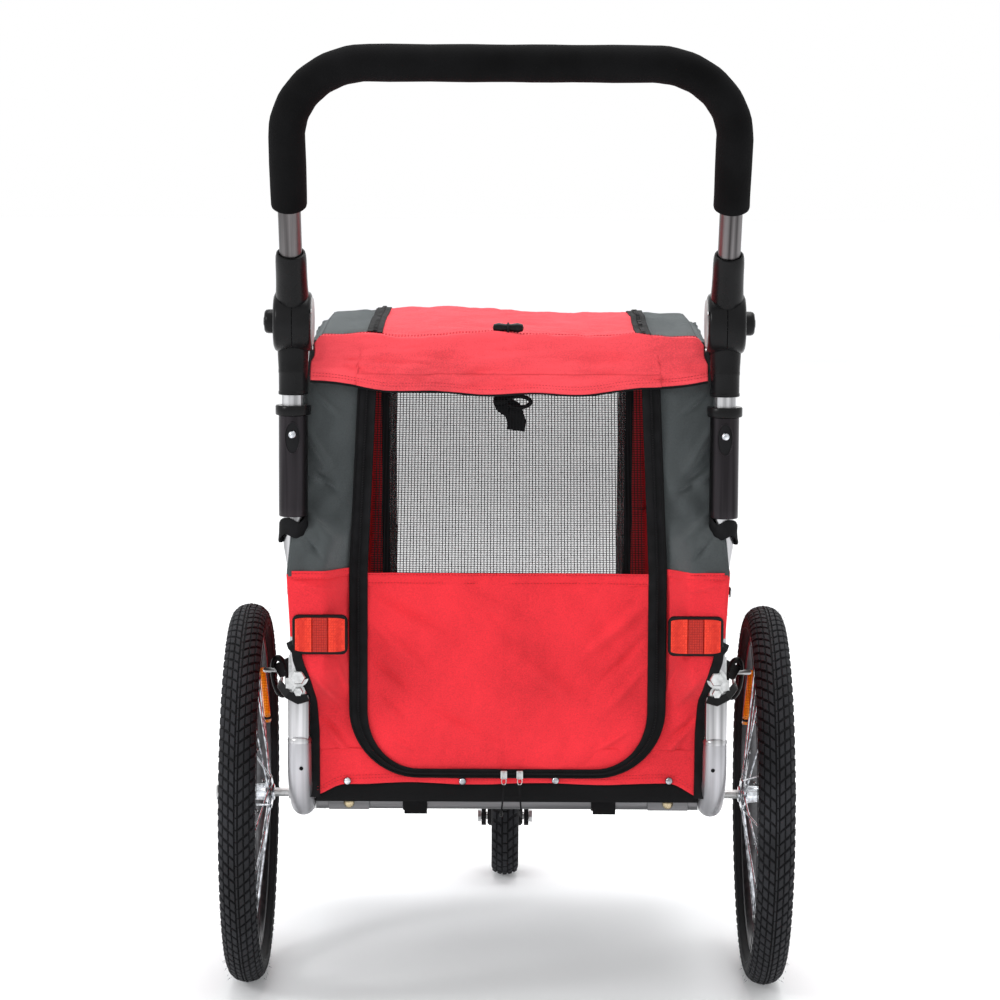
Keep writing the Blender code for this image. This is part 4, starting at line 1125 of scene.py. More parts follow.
def cabin_front():
    """The front wall with its own zipped door and clear film window."""
    half_door, low_door = 0.174, 0.472
    top_door = joint_height("front_door_open")

    def wall(x0, x1, z0, z1, seed):
        def surface(u, v):
            z = z0(u) + (z1(u) - z0(u)) * v if callable(z0) else z0 + (z1 - z0) * v
            a = x0(z) if callable(x0) else x0
            b = x1(z) if callable(x1) else x1
            x = a + (b - a) * u
            z = min(z, roof_z(min(abs(x), ROOF_HALF), ROOF_FRONT) - 0.0015)
            return Vector((x, front_y(z) + crease(x, z, seed, 0.06, 0.0038) + ridges(x, z, FRONT_FOLDS), z))

        return surface

    for side, s in SIDES:
        def edge(z, s=s):
            return s * (min(side_x(z), 0.24 + max(0.0, z - 0.455) * 1.5) - 0.001)

        grid(f"front_red_upper_{side}", wall(s * (half_door + 0.009), edge, SEAM_Z, FRONT_TOP, 2.2 + s), 20,
             40, RED, "chassis", squash=True, stands_for=("front_panel",) if s > 0 else ())
        grid(f"front_red_lower_{side}", wall(s * (half_door + 0.009), edge, FRONT_BASE, SEAM_Z, 2.2 + s), 20,
             46, RED, "chassis")
        parts = (("upper", SEAM_Z, top_door + 0.006, True), ("lower", low_door, SEAM_Z, False))
        for part, z0, z1, folds in parts:
            for tape, dx, body in (("outer", 0.006, "chassis"), ("inner", -0.006, "front_door")):
                end = min(z1, top_door + 0.0005) if tape == "inner" else z1
                path = [Vector((s * (half_door + dx), front_y(z) + 0.004, z)) for z in spread(z0, end, 30)]
                sweep(f"front_tape_{tape}_{part}_{side}", path, 0.0135, 0.0022, FORWARD, TAPE, body,
                      squash=folds)
    grid("front_red_base", wall(-half_door - 0.01, half_door + 0.01, FRONT_BASE, low_door, 5.5), 70, 26, RED,
         "chassis")
    grid("front_red_top", wall(-half_door - 0.01, half_door + 0.01, top_door, FRONT_TOP + 0.004, 5.9), 70, 8,
         RED, "chassis", squash=True)
    low_tape = [Vector((half_door * (k / 30 - 1), front_y(low_door) + 0.004, low_door)) for k in range(61)]
    sweep("front_tape_low", low_tape, 0.022, 0.0022, FORWARD, TAPE, "front_door")
    for row, dz in enumerate((0.016, 0.021)):
        stitches(f"front_stitch_{row}", shifted(low_tape, y=0.0005, z=-dz), "chassis", facing=FORWARD)
    for part, z0, z1 in (("lower", low_door + 0.004, SEAM_Z), ("upper", SEAM_Z, top_door + 0.0008)):
        pane = wall(-half_door + 0.002, half_door - 0.002, z0, z1, 7.7)
        grid(f"front_window_{part}", pane, 50, 24, FILM, "front_door", thick=0.0007, squash=part == "upper",
             stands_for=("front_door",) if part == "upper" else ())
    top_z = top_door + 0.01
    top_tape = [Vector(((half_door + 0.012) * (k / 30 - 1), front_y(top_z) + 0.0042, top_z))
                for k in range(61)]
    sweep("front_tape_top", top_tape, 0.018, 0.0022, FORWARD, TAPE, "chassis", squash=True)
    hem = [Vector((x, front_y(0.335) + 0.002, FRONT_BASE + 0.003)) for x in steps(-0.236, 0.008, 60)]
    sweep("front_hem_binding", hem, 0.014, 0.0034, FORWARD, TAPE, "chassis")
    for side, s in SIDES:
        run = [Vector((s * side_x(z), front_y(z) - 0.001, z)) for z in spread(SEAM_Z, FRONT_TOP, 30)]
        piping(f"front_piping_{side}", run, 0.005, FORWARD, SLATE, sides=10, squash=True)


def tub():
    """The black tub: floor and low walls, sagging a little between the tubes."""

    def floor(u, v):
        x = (2 * u - 1) * 0.2415
        y = REAR_Y + 0.004 + (FRONT_Y - 0.006 - REAR_Y - 0.004) * v
        sag = 0.0035 * sin(pi * u) * sin(pi * 3 * v) ** 2 + crease(x, y, 1.9, 0.08, 0.0015)
        return Vector((x, y, TUB_LOW - 0.0005 - sag))

    grid("tub_floor_cloth", floor, 50, 70, BLACK_CLOTH, "chassis", stands_for=("tub_cover",))
    for side, s in SIDES:
        def wall(u, v, s=s):
            y = REAR_Y + 0.006 + (FRONT_Y - 0.01 - REAR_Y - 0.006) * u
            z = TUB_LOW - 0.004 + (0.44 - TUB_LOW) * v
            return Vector((s * (0.2405 + crease(y, z, 6 + s, 0.07, 0.0012)), y, z))

        grid(f"tub_wall_{side}", wall, 80, 14, BLACK_CLOTH, "chassis")
    for label, y in (("rear", REAR_Y + 0.0025), ("front", FRONT_Y - 0.0075)):
        def end(u, v, y=y):
            x = (2 * u - 1) * 0.241
            z = TUB_LOW - 0.01 + (0.4 - TUB_LOW) * v
            return Vector((x, y + crease(x, z, 2.7, 0.05, 0.0012) - 0.002 * (1 - v), z))

        grid(f"tub_wall_{label}", end, 60, 12, BLACK_CLOTH, "chassis")
    for k, x in enumerate((-0.117, 0.123)):
        y, z, r = CROSS.y, CROSS.z, 0.0122
        loop = [Vector((x, y + r * cos(t) * 1.05, z + 0.001 + r * sin(t))) for t in around(28)]
        sweep(f"hook_strap_{k}", loop, 0.031, 0.0022, lambda p, y=y, z=z: (0, p.y - y, p.z - z), TAPE,
              "chassis", closed=True)
        tab = [Vector((x + 0.001, y - 0.0135, z + 0.012 - 0.0052 * n)) for n in range(6)]
        sweep(f"hook_strap_tab_{k}", tab, 0.029, 0.0022, REARWARD, TAPE, "chassis")


# ---------------------------------------------------------------- frame
def base_frame():
    """The bent rails with their flattened tops, crimps, plugs and rivets."""
    bend, z0 = 0.07, RAIL_LOW
    for side, s in SIDES:
        line = [(RAIL_REAR, z) for z in (0.372, 0.366)]
        line += [(RAIL_REAR + bend - bend * cos(t), z0 + bend - bend * sin(t))
                 for t in spread(0, pi / 2, 14)]
        line += [(RAIL_REAR + bend + (RAIL_FRONT - RAIL_REAR - 2 * bend) * k / 12, z0) for k in range(1, 12)]
        line += [(RAIL_FRONT - bend + bend * sin(t), z0 + bend - bend * cos(t))
                 for t in spread(0, pi / 2, 14)]
        line += [(RAIL_FRONT, z) for z in (0.366, 0.372)]
        inward = [0.002 * ease((0.33 - z) / 0.06) * (1 if y < 0 else 0) for y, z in line]
        path = [Vector((s * (RAIL_X - d), y, z)) for (y, z), d in zip(line, inward)]
        wide = [0.026, 0.0295] + [0.03] * (len(path) - 4) + [0.0295, 0.026]
        rod(f"rail_tube_{side}", path, wide, SATIN, "chassis", 28, stands_for=(f"side_rail_{side}",))
        shapes = []
        for y in (RAIL_REAR, RAIL_FRONT):
            shapes.append(block((0.027, 0.023, 0.058), (s * (RAIL_X + 0.0005), y, 0.4015), None, 0.22))
            rim, faces = lathe_mesh([(0.012, -0.005), (0.0148, -0.0035), (0.0152, 0.0), (0.014, 0.0035),
                                     (0.0105, 0.005)], (s * RAIL_X, y, 0.3715), UPWARD, 28)
            shapes.append((rim, faces))
        merged(f"rail_flats_{side}", shapes, SILVER, "chassis", smooth=50)
        # a thin black disc laid on the rail where its hole is: painted shade for the dark inside of the hole
        hole = [(0.0001, 0.0004), (0.0022, 0.0004), (0.0026, 0.0)]
        lathe(f"rail_hole_shade_{side}", hole, (s * (RAIL_X - 0.003), RAIL_REAR - 0.0146, 0.337), (0, -1, -0.15),
              BLACK_CLOTH, "chassis", 16, slot="black_plastic")
        tags = [block((0.005, 0.028, 0.172), (s * 0.2742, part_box(f"brake_lever_{side}")[0][1] + 0.009,
                                              0.3595))]
        merged(f"brake_bracket_{side}", tags, ZINC, "chassis")
    y, z = CROSS.y, CROSS.z
    rod("rear_tube_fine", [(-0.2432, y, z), (0.2432, y, z)], 0.0205, DULL, "chassis", 28,
        stands_for=("rear_cross_tube",))
    for k, x in enumerate((-0.201, 0.205)):
        shapes = [block((0.052, 0.006, 0.0185), (x, y - 0.0105, z), None, 0.3)]
        merged(f"rear_tube_flat_{k}", shapes, DULL, "chassis", smooth=50)
        rivet = [(0.0001, 0.0042), (0.0036, 0.0036), (0.006, 0.0014), (0.007, 0.0), (0.007, -0.002)]
        lathe(f"rear_rivet_{k}", rivet, (x, y - 0.0135, z), REARWARD, BRASS, "chassis", 24)


def recolour():
    """Materials for the CAD nodes that keep their own shape."""
    finishes = {"front_cross_tube": SATIN, "front_beam": SATIN, "axle_tube": ZINC, "axle_left": ZINC,
                "axle_right": ZINC, "caster_housing": PLASTIC_MATT, "floor_board": PLASTIC_MATT,
                "caster_fork": PLASTIC_MATT, "front_axle": ZINC, "rear_hinge_left": ZINC,
                "rear_hinge_right": ZINC, "front_hinge_left": ZINC, "front_hinge_right": ZINC,
                "side_frame_left": SILVER, "side_frame_right": SILVER, "inner_tube_left": SILVER,
                "inner_tube_right": SILVER}
    for name, mat in finishes.items():
        ob = frame["nodes"][name]
        ob.data.materials.clear()
        ob.data.materials.append(mat)


def posts():
    """The posts: round under the sleeves, drawn thinner where the cabin cloth covers them."""
    for side, s in SIDES:
        low, top = (corner[2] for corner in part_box(f"handle_post_{side}"))
        y = POST.y
        path = [(0.2675, top), (0.2675, 0.64), (0.2675, 0.618), (0.2655, 0.6), (0.2635, 0.58),
                (0.2625, 0.54), (0.2625, 0.49), (0.261, 0.47), (0.26, low)]
        wide = [0.025, 0.025, 0.0248, 0.0225, 0.0205, 0.02, 0.02, 0.02, 0.02]
        rod(f"post_tube_{side}", [(s * x, y, z) for x, z in path], wide, SILVER, "chassis", 32,
            stands_for=(f"handle_post_{side}",))


def brake_loops():
    """Each wheel lock: a finger loop, its lobed plate, and the zinc pin that reaches between the spokes."""
    for side, s in SIDES:
        y, body = placed(f"brake_lever_{side}")[2][1], f"{side}_brake"
        ring = [(s * (0.2965 + 0.0095 * cos(t) + 0.003 * sin(t)), y + 0.002 * cos(t),
                 0.4215 + 0.0245 * sin(t)) for t in around(36)]
        rod(f"brake_ring_{side}", ring, [0.0066 + 0.0016 * sin(2 * pi * k / 36) ** 2 for k in range(36)],
            PLASTIC, body, 14, closed=True, stands_for=(f"brake_lever_{side}",))
        plate = [block((0.024, 0.009, 0.02), (s * 0.2905, y, 0.433), Matrix.Rotation(s * 0.5, 4, "Y"), 0.35),
                 block((0.012, 0.011, 0.012), (s * 0.2835, y, 0.43), None, 0.3)]
        merged(f"brake_plate_{side}", plate, PLASTIC, body, smooth=40)
        pin = [(0.0001, 0.0505), (0.0022, 0.05), (0.0034, 0.048), (0.0034, 0.022), (0.005, 0.0215),
               (0.005, 0.02), (0.0034, 0.0195), (0.0034, 0.001), (0.0022, 0.0), (0.0001, 0.0)]
        lathe(f"brake_pin_{side}", pin, (s * 0.2685, y, 0.43), (s, 0, 0), ZINC, body, 24)


def hinge_hardware():
    """Bolt heads, washers and nuts at the rear hinges, with the black retaining clips."""
    for side, s in SIDES:
        x, y = s * RAIL_X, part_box(f"handle_post_{side}")[0][1]
        shapes = []
        for z, r in ((HINGE_Z, 0.0092), (HINGE_Z - 0.018, 0.0062)):
            shapes.append(lathe_mesh([(r * 1.35, 0.0), (r * 1.35, 0.0012), (r * 0.6, 0.0014)],
                                     (x, y + 0.004, z), REARWARD, 28))
            shapes.append(lathe_mesh([(r, 0.0012), (r, 0.0062), (r * 0.86, 0.0078), (0.0001, 0.008)],
                                     (x, y + 0.004, z), (0, -1, 0.0), 6))
        shapes.append(block((0.012, 0.003, 0.016), (s * (RAIL_X + 0.01), y + 0.006, HINGE_Z - 0.01), None,
                            0.3))
        merged(f"hinge_bolts_{side}", shapes, ZINC, "chassis", smooth=30)
        clip = [Vector((s * (RAIL_X - 0.012), y - 0.0005, 0.429)), Vector((s * RAIL_X, y - 0.002, 0.4255)),
                Vector((s * (RAIL_X + 0.013), y - 0.0005, 0.432)),
                Vector((s * (RAIL_X + 0.024), y + 0.018, 0.442)),
                Vector((s * (RAIL_X + 0.026), y + 0.06, 0.44))]
        sweep(f"hinge_clip_{side}", finer(clip, 6) + clip[-1:], 0.01, 0.0035, (s * 0.4, -1, 0.25),
              PLASTIC, "chassis")


# ---------------------------------------------------------------- wheels
def tyre(name, centre, radius, half, rim_r, pitches, rows, depth, body, **more):
    """A tyre: a smooth carcass and rows of separate raised tread blocks."""
    tall = (radius - depth - rim_r) / 2
    mid = rim_r + tall

    def place(turn, t, lift=0.0):
        r = mid + (tall + lift) * cos(t)
        w = (half - depth * 0.7 + lift * 0.9) * sin(t)
        return Vector((centre[0] + w, centre[1] + r * sin(2 * pi * turn),
                       centre[2] + r * cos(2 * pi * turn)))

    rings, across = 180, 40
    turns = [pi * 0.82 * (2 * k / across - 1) for k in range(across + 1)]
    verts = [place(k / rings, t) for k in range(rings) for t in turns]
    n = across + 1
    faces = []
    for k in range(rings):
        m = (k + 1) % rings
        faces += [(k * n + i, m * n + i, m * n + i + 1, k * n + i + 1) for i in range(n - 1)]
        faces.append((k * n + n - 1, m * n + n - 1, m * n, k * n))
    # the carcass, sidewalls included, takes the darker rubber: painted shade in the grooves
    make(name, verts, faces, GROOVE_SHADE, body, smooth=60, **more)
    shapes = []
    for low, high, skew, length, shift, lift in rows:
        for way in (1, -1) if low > 0 else (1,):
            for k in range(pitches):
                start = (k + shift + (0.5 if way < 0 else 0)) / pitches
                shapes.append(tread_block(place, start, length / pitches, way * low if low > 0 else -high,
                                          way * high, skew / pitches, depth * lift))
    merged(f"{name}_tread", shapes, RUBBER, body, smooth=30)
    return place


def tread_block(place, start, length, low, high, skew, depth):
    """One raised block: a base on the carcass, chamfered up to its top, bent to the tyre's curve."""
    verts, rings, across = [], ((0.0, 0.0, -0.0004), (0.0, 0.0, depth * 0.6), (0.09, 0.07, depth)), 3
    for inset_u, inset_v, lift in rings:
        for j in (0, 1):
            for i in range(across + 1):
                u = inset_u + (1 - 2 * inset_u) * i / across
                v = inset_v + (1 - 2 * inset_v) * j
                verts.append(place(start + v * length + u * skew, low + (high - low) * u, lift))
    n = across + 1
    loop = list(range(n)) + list(range(2 * n - 1, n - 1, -1))
    faces = []
    for ring in (0, 1):
        a, b = ring * 2 * n, (ring + 1) * 2 * n
        faces += [(a + loop[k], a + loop[(k + 1) % (2 * n)], b + loop[(k + 1) % (2 * n)], b + loop[k])
                  for k in range(2 * n)]
    top = 4 * n
    faces += [(top + i, top + i + 1, top + n + i + 1, top + n + i) for i in range(n - 1)]
    faces += [(n + i, n + i + 1, i + 1, i) for i in range(n - 1)]
    return verts, faces


# Tread rows: from and to angle across the tyre, skew, length, shift round it, and lift.
REAR_ROWS = (
    (0.0, 0.045, 0.0, 0.94, 0.0, 1.0),
    (0.11, 0.36, 0.35, 0.8, 0.1, 0.9),
    (0.42, 0.7, 0.3, 0.74, 0.55, 0.95),
    (0.77, 1.04, 0.2, 0.72, 0.05, 0.8),
    (1.11, 1.36, 0.05, 0.66, 0.45, 0.55),
)
FRONT_ROWS = (
    (0.0, 0.14, 0.0, 0.86, 0.0, 1.0),
    (0.24, 0.55, 0.3, 0.72, 0.3, 0.9),
    (0.66, 1.05, 0.2, 0.66, 0.7, 0.9),
)


def wheel(side, s):
    """A rear wheel: tyre with moulding hairs, rim, hub, crossed spokes, valve and spoke reflector."""
    body = f"{side}_wheel"
    centre = Vector((s * WHEEL.x, WHEEL.y, WHEEL.z))
    tyre(f"tyre_{side}", centre, WHEEL_R, TYRE_HALF + 0.0008, RIM_R - 0.004, 100, REAR_ROWS, 0.0028, body,
         stands_for=(f"rear_tyre_{side}",))
    for label, w in (("inner", -1), ("outer", 1)):
        ring = [(RIM_R + 0.0075, w * 0.0235), (RIM_R + 0.0085, w * 0.0243), (RIM_R + 0.0095, w * 0.0235)]
        verts, faces = lathe_mesh(ring + ring[:1], centre, (1, 0, 0), 96)
        merged(f"sidewall_line_{label}_{side}", [(verts, faces)], RUBBER, body)
    hairs = []
    for k in range(96):
        t = 2 * pi * k / 96 + 0.02 * sin(k * 7)
        for w in (-0.0225, 0.0225):
            r = WHEEL_R - 0.011 + 0.006 * sin(k * 3.3)
            root = centre + Vector((w, r * sin(t), r * cos(t)))
            way = Vector((w * 18, 0.6 * sin(t) + 0.5 * cos(t + k),
                          0.6 * cos(t) - 0.3 * sin(t + k))).normalized()
            side_way = way.orthogonal().normalized() * 0.00035
            other = way.cross(side_way)
            tip = root + way * (0.0048 + 0.0022 * sin(k * 5.1))
            hairs.append(([root + side_way, root - side_way * 0.5 + other, root - side_way * 0.5 - other,
                           tip], [(0, 1, 3), (1, 2, 3), (2, 0, 3), (2, 1, 0)]))
    merged(f"tyre_hairs_{side}", hairs, RUBBER, body, smooth=0)
    rim = both_ways([(0.003, 0.0128), (0.003, 0.014), (-0.002, 0.0142), (-0.007, 0.0132), (-0.011, 0.0075),
                     (-0.012, 0.0)])
    rim = [(RIM_R + r, along) for r, along in rim + [(-0.004, -0.011), (-0.004, 0.011), (0.003, 0.0128)]]
    lathe(f"rim_{side}", rim, centre, (1, 0, 0), RIM, body, 120, stands_for=(f"rear_rim_{side}",))
    hub = both_ways([(0.0068, -0.033), (0.01, -0.033), (0.0115, -0.031), (0.017, -0.03), (0.0215, -0.029),
                     (0.0215, -0.0262), (0.015, -0.024), (0.0115, -0.019), (0.0105, 0.0)])
    lathe(f"hub_{side}", hub, centre, (1, 0, 0), CHROME, body, 48, stands_for=(f"rear_hub_{side}",))
    spokes, nipples = [], []
    count = 28
    for k in range(count):
        flange = 1 if k % 2 else -1
        lead = 1 if (k // 2) % 2 else -1
        at_rim = 2 * pi * (k + 0.5) / count
        at_hub = at_rim + lead * radians(62)
        foot = centre + Vector((flange * 0.0276, 0.0185 * sin(at_hub), 0.0185 * cos(at_hub)))
        tip = centre + Vector((flange * 0.003, (RIM_R - 0.0105) * sin(at_rim),
                               (RIM_R - 0.0105) * cos(at_rim)))
        way = (tip - foot).normalized()
        spokes.append(lathe_mesh([(0.0013, 0.0), (0.0013, (tip - foot).length)], foot, way, 8))
        nipples.append(lathe_mesh([(0.0013, -0.013), (0.0019, -0.012), (0.0019, -0.001), (0.0013, 0.0)], tip,
                                  way, 10))
        head = Vector((flange * 0.003, 0, 0))
        spokes.append(lathe_mesh([(0.0022, -0.0022), (0.0022, 0.0022)], foot, head, 8))
    merged(f"spokes_{side}", spokes, CHROME, body)
    merged(f"nipples_{side}", nipples, ZINC, body)
    turn = radians(205)
    foot = centre + Vector((0, (RIM_R - 0.011) * sin(turn), (RIM_R - 0.011) * cos(turn)))
    inward = (centre - foot).normalized()
    valve = [(0.0036, 0.0), (0.0034, 0.016), (0.003, 0.022), (0.004, 0.023), (0.004, 0.033), (0.0025, 0.036)]
    lathe(f"valve_{side}", valve, foot, inward, PLASTIC_MATT, body, 20)
    middle = Vector(placed(f"spoke_reflector_{side}")[2])
    turn = Matrix.Rotation(-radians(40), 4, "X") @ Matrix.Rotation(s * 0.135, 4, "Y")
    shell = [block((0.0085, 0.026, 0.074), middle, turn, 0.35)]
    merged(f"reflector_case_{side}", shell, ORANGE_LENS, body, smooth=30,
           stands_for=(f"spoke_reflector_{side}",))
    clips = [block((0.009, 0.006, 0.01), middle + turn @ Vector((0, 0, dz)), turn, 0.3)
             for dz in (-0.033, 0.033)]
    merged(f"reflector_clips_{side}", clips, PLASTIC_MATT, body)


def front_wheel():
    """The small front wheel with its six moulded arms."""
    body = "front_wheel"
    tyre("front_tyre_fine", FRONT, FRONT_R, FRONT_HALF, 0.064, 34, FRONT_ROWS, 0.0022, body,
         stands_for=("front_tyre",))
    rim = both_ways([(0.065, -0.0175), (0.0665, -0.016), (0.062, -0.012), (0.056, -0.011), (0.0545, -0.008)])
    rim += [(0.0665, 0.0), rim[0]]
    lathe("front_rim", rim, FRONT, (1, 0, 0), PLASTIC_MATT, body, 72)
    hub = both_ways([(0.0066, -0.0268), (0.012, -0.0268), (0.015, -0.024), (0.0165, -0.012)])
    lathe("front_hub_core", hub, FRONT, (1, 0, 0), PLASTIC_MATT, body, 40, stands_for=("front_hub",))
    arms = []
    for t in around(6):
        way = Vector((0, sin(t), cos(t)))
        turn = Matrix.Rotation(-t, 4, "X")
        arms.append(block((0.014, 0.01, 0.042), FRONT + way * 0.0355, turn, 0.2))
    merged("front_wheel_arms", arms, PLASTIC_MATT, body, smooth=40)


# ---------------------------------------------------------------- handle
def lean_point(reach, x=0.0):
    """A point on the leaning handle, at a distance from the tilt pivot."""
    return Vector((x, POST.y - reach * sin(LEAN), PIVOT_Z + reach * cos(LEAN)))


def handle():
    """The U-shaped tube and its foam grip, then a joint and a sleeve on each side."""
    way = Vector((0, -sin(LEAN), cos(LEAN)))
    reach, bend = 0.356, 0.1
    x = POST.x
    arc = [(x - bend + bend * cos(t), reach - bend + bend * sin(t))
           for t in spread(0, pi / 2, 20)]
    right = [(x, 0.066), (x, 0.12), (x, 0.18), (x, 0.22)] + arc
    flat = right + [(x - bend - (2 * (x - bend)) * k / 14, reach) for k in range(1, 14)]
    flat += [(-a, b) for a, b in reversed(right)]
    path = [lean_point(b, a) for a, b in flat]
    rod("handle_tube", path, 0.028, GREY_TUBE, "handle_upper", 32, stands_for=("handle_bar",))
    grip = [(a, b) for a, b in flat if b >= 0.17]
    grip = [(x, 0.1625), (x, 0.164), (x, 0.1665)] + grip + [(-x, 0.1665), (-x, 0.164), (-x, 0.1625)]
    wide = [0.039, 0.0425, 0.0444] + [0.0444] * (len(grip) - 6) + [0.0444, 0.0425, 0.039]
    wide = [w + 0.0006 * sin(k * 1.7) for k, w in enumerate(wide)]
    rod("grip", [lean_point(b, a) for a, b in grip], wide, FOAM, "handle_upper", 40,
        stands_for=("foam_grip",))
    for side, s in SIDES:
        joint(side, s, way)


def joint(side, s, way):
    """The tilting joint: two drum halves, their sockets, the push button and the cap."""
    x, y, z = s * POST.x, POST.y, PIVOT_Z
    r, half = 0.0375, 0.0235
    outer = [(0.0001, 0.0003), (r - 0.0003, 0.0003), (r, 0.0006), (r, half - 0.005),
             (r - 0.002, half - 0.0018), (r - 0.006, half), (0.0175, half), (0.0168, half - 0.0012),
             (0.0168, half - 0.012), (0.0001, half - 0.012)]
    low_half = lathe_mesh(outer, (x, y, z), (s, 0, 0), 64)
    collar = [(0.0144, -0.0905), (0.0176, -0.0905), (0.0184, -0.0895), (0.0184, -0.0868), (0.0178, -0.086),
              (0.018, -0.064), (0.0184, -0.063), (0.0184, -0.06), (0.0182, -0.059), (0.0192, -0.04),
              (0.0196, -0.028), (0.0001, -0.026)]
    stalk = lathe_mesh(collar, (x, y, z), UPWARD, 48)
    merged(f"joint_lower_shell_{side}", [low_half, stalk], PLASTIC, "handle_lower", smooth=35,
           stands_for=(f"joint_lower_{side}",))
    up_half = lathe_mesh(outer[:5] + [(r - 0.005, half - 0.0004), (0.0001, half - 0.0004)], (x, y, z),
                         (-s, 0, 0), 64)
    socket = [(0.0001, 0.026), (0.0196, 0.0285), (0.0202, 0.04), (0.0196, 0.052), (0.0192, 0.07),
              (0.0192, 0.085), (0.0188, 0.093), (0.0178, 0.0975), (0.016, 0.0985), (0.0148, 0.0975),
              (0.0146, 0.09)]
    neck = lathe_mesh(socket, (x, y, z), way, 48)
    merged(f"joint_upper_shell_{side}", [up_half, neck], PLASTIC, "handle_upper", smooth=35,
           stands_for=(f"joint_upper_{side}",))
    cap = [(0.0001, 0.0022), (0.02, 0.0022), (0.0285, 0.0016), (0.03, 0.0004), (0.03, -0.001)]
    lathe(f"joint_cap_{side}", cap, (x - s * half, y, z), (-s, 0, 0), GREY_PLASTIC, "handle_upper", 48)
    button = [(0.0001, 0.0122), (0.0075, 0.0122), (0.012, 0.0116), (0.0142, 0.0098), (0.015, 0.007),
              (0.015, -0.0025)]
    lathe(f"joint_button_cap_{side}", button, (x + s * half, y, z), (s, 0, 0), PLASTIC,
          f"{side}_joint_button", 48, stands_for=(f"joint_button_{side}",))
    dimple = [(0.0001, 0.0), (0.004, 0.0002), (0.0048, 0.0008), (0.0052, 0.0)]
    lathe(f"joint_button_ring_{side}", dimple, (x + s * (half + 0.0121), y, z), (s, 0, 0), PLASTIC_MATT,
          f"{side}_joint_button", 32)
    screws = []
    for t in (0.6, 2.7, 4.8):
        spot = Vector((x - s * (half + 0.0001), y + 0.033 * cos(t), z + 0.033 * sin(t)))
        screws.append(lathe_mesh([(0.0001, 0.001), (0.0022, 0.001), (0.0028, 0.0)], spot, (-s, 0, 0), 16))
    merged(f"joint_screws_{side}", screws, ZINC, "handle_upper")
    sleeve(side, s)


def sleeve(side, s):
    """The dark sleeve with its oval recess, collar, snap button, and the cloth loop under it."""
    x, y = s * POST.x, POST.y
    wall = [(0.0147, SLEEVE_LOW), (0.0172, SLEEVE_LOW), (0.018, SLEEVE_LOW + 0.0012)]
    wall += [(0.018, SLEEVE_LOW + 0.012 * k) for k in range(1, 10)]
    wall += [(0.018, SLEEVE_TOP - 0.0006), (0.0147, SLEEVE_TOP)]
    lathe(f"sleeve_shell_{side}", wall + [wall[0]], (x, y, 0), UPWARD, ANODISED, "chassis", 56,
          stands_for=(f"sleeve_{side}",))
    ring = [(0.0147, SLEEVE_TOP + 0.0004), (0.021, SLEEVE_TOP + 0.0004), (0.022, SLEEVE_TOP + 0.0018),
            (0.022, SLEEVE_TOP + 0.011), (0.021, SLEEVE_TOP + 0.0126), (0.0147, SLEEVE_TOP + 0.0126)]
    lathe(f"collar_ring_{side}", ring + [ring[0]], (x, y, 0), UPWARD, PLASTIC, "chassis", 56,
          stands_for=(f"sleeve_collar_{side}",))
    oval = []
    for t in around(36):
        a, z = 0.52 * cos(t), 0.0195 * sin(t)
        oval.append(Vector((x + 0.0183 * sin(a), y - 0.0183 * cos(a), 0.753 + z)))
    rod(f"recess_rim_{side}", oval, 0.0016, ANODISED, "chassis", 10, closed=True)
    # the recess is not cut: a darker matt sheet laid on the sleeve inside the rim is painted shade for it
    patch, n = [], 9
    for j in range(n + 1):
        for i in range(n + 1):
            u, v = 2 * i / n - 1, 2 * j / n - 1
            a = 0.5 * u * (1 - v * v / 2) ** 0.5
            z = 0.019 * v * (1 - u * u / 2) ** 0.5
            patch.append(Vector((x + 0.0182 * sin(a), y - 0.0182 * cos(a), 0.753 + z)))
    make(f"recess_shade_sheet_{side}", patch, quads(n, n), PLASTIC_MATT, "chassis")
    ball = [(0.0001, 0.0058), (0.0022, 0.0054), (0.0042, 0.004), (0.0054, 0.0018), (0.0056, -0.001)]
    lathe(f"snap_ball_{side}", ball, (x, y - SLEEVE_R + 0.0005, 0.757), REARWARD, CHROME,
          f"{side}_snap_button", 28, stands_for=(f"snap_button_{side}",), slot="zinc")
    loop = []
    for t in spread(-2.2, 2.2, 24):
        droop = 0.006 * sin(t * 2.3) - 0.005 * sin(t)
        loop.append(Vector((s * (POST.x + 0.0165 * sin(t)), y - 0.0165 * cos(t), 0.64 + droop)))
    sweep(f"post_strap_{side}", loop, 0.02, 0.0024, lambda p, x=x, y=y: (p.x - x, p.y - y, 0.002), TAPE,
          "chassis")


def plaque(wide, tall, corner, thick, at, dome=0.0):
    """A plate in XZ with rounded corners and a chamfered face toward -Y, as points and faces."""
    loop = []
    for cx, cz, start in ((1, 1, 0), (-1, 1, 90), (-1, -1, 180), (1, -1, 270)):
        for k in range(6):
            t = radians(start + 90 * k / 5)
            loop.append((cx * (wide / 2 - corner) + corner * cos(t),
                         cz * (tall / 2 - corner) + corner * sin(t)))
    verts, n = [], len(loop)
    for scale, depth in ((1.0, 0.0), (1.0, 0.7), (0.965, 1.0)):
        verts += [Vector(at) + Vector((x * scale, -thick * depth, z * scale)) for x, z in loop]
    verts.append(Vector(at) + Vector((0, -thick - dome, 0)))
    faces = [tuple(range(n))]
    for ring in (0, 1):
        faces += [(ring * n + k, ring * n + n + k, ring * n + n + (k + 1) % n, ring * n + (k + 1) % n)
                  for k in range(n)]
    faces += [(2 * n + k, 3 * n, 2 * n + (k + 1) % n) for k in range(n)]
    return verts, faces


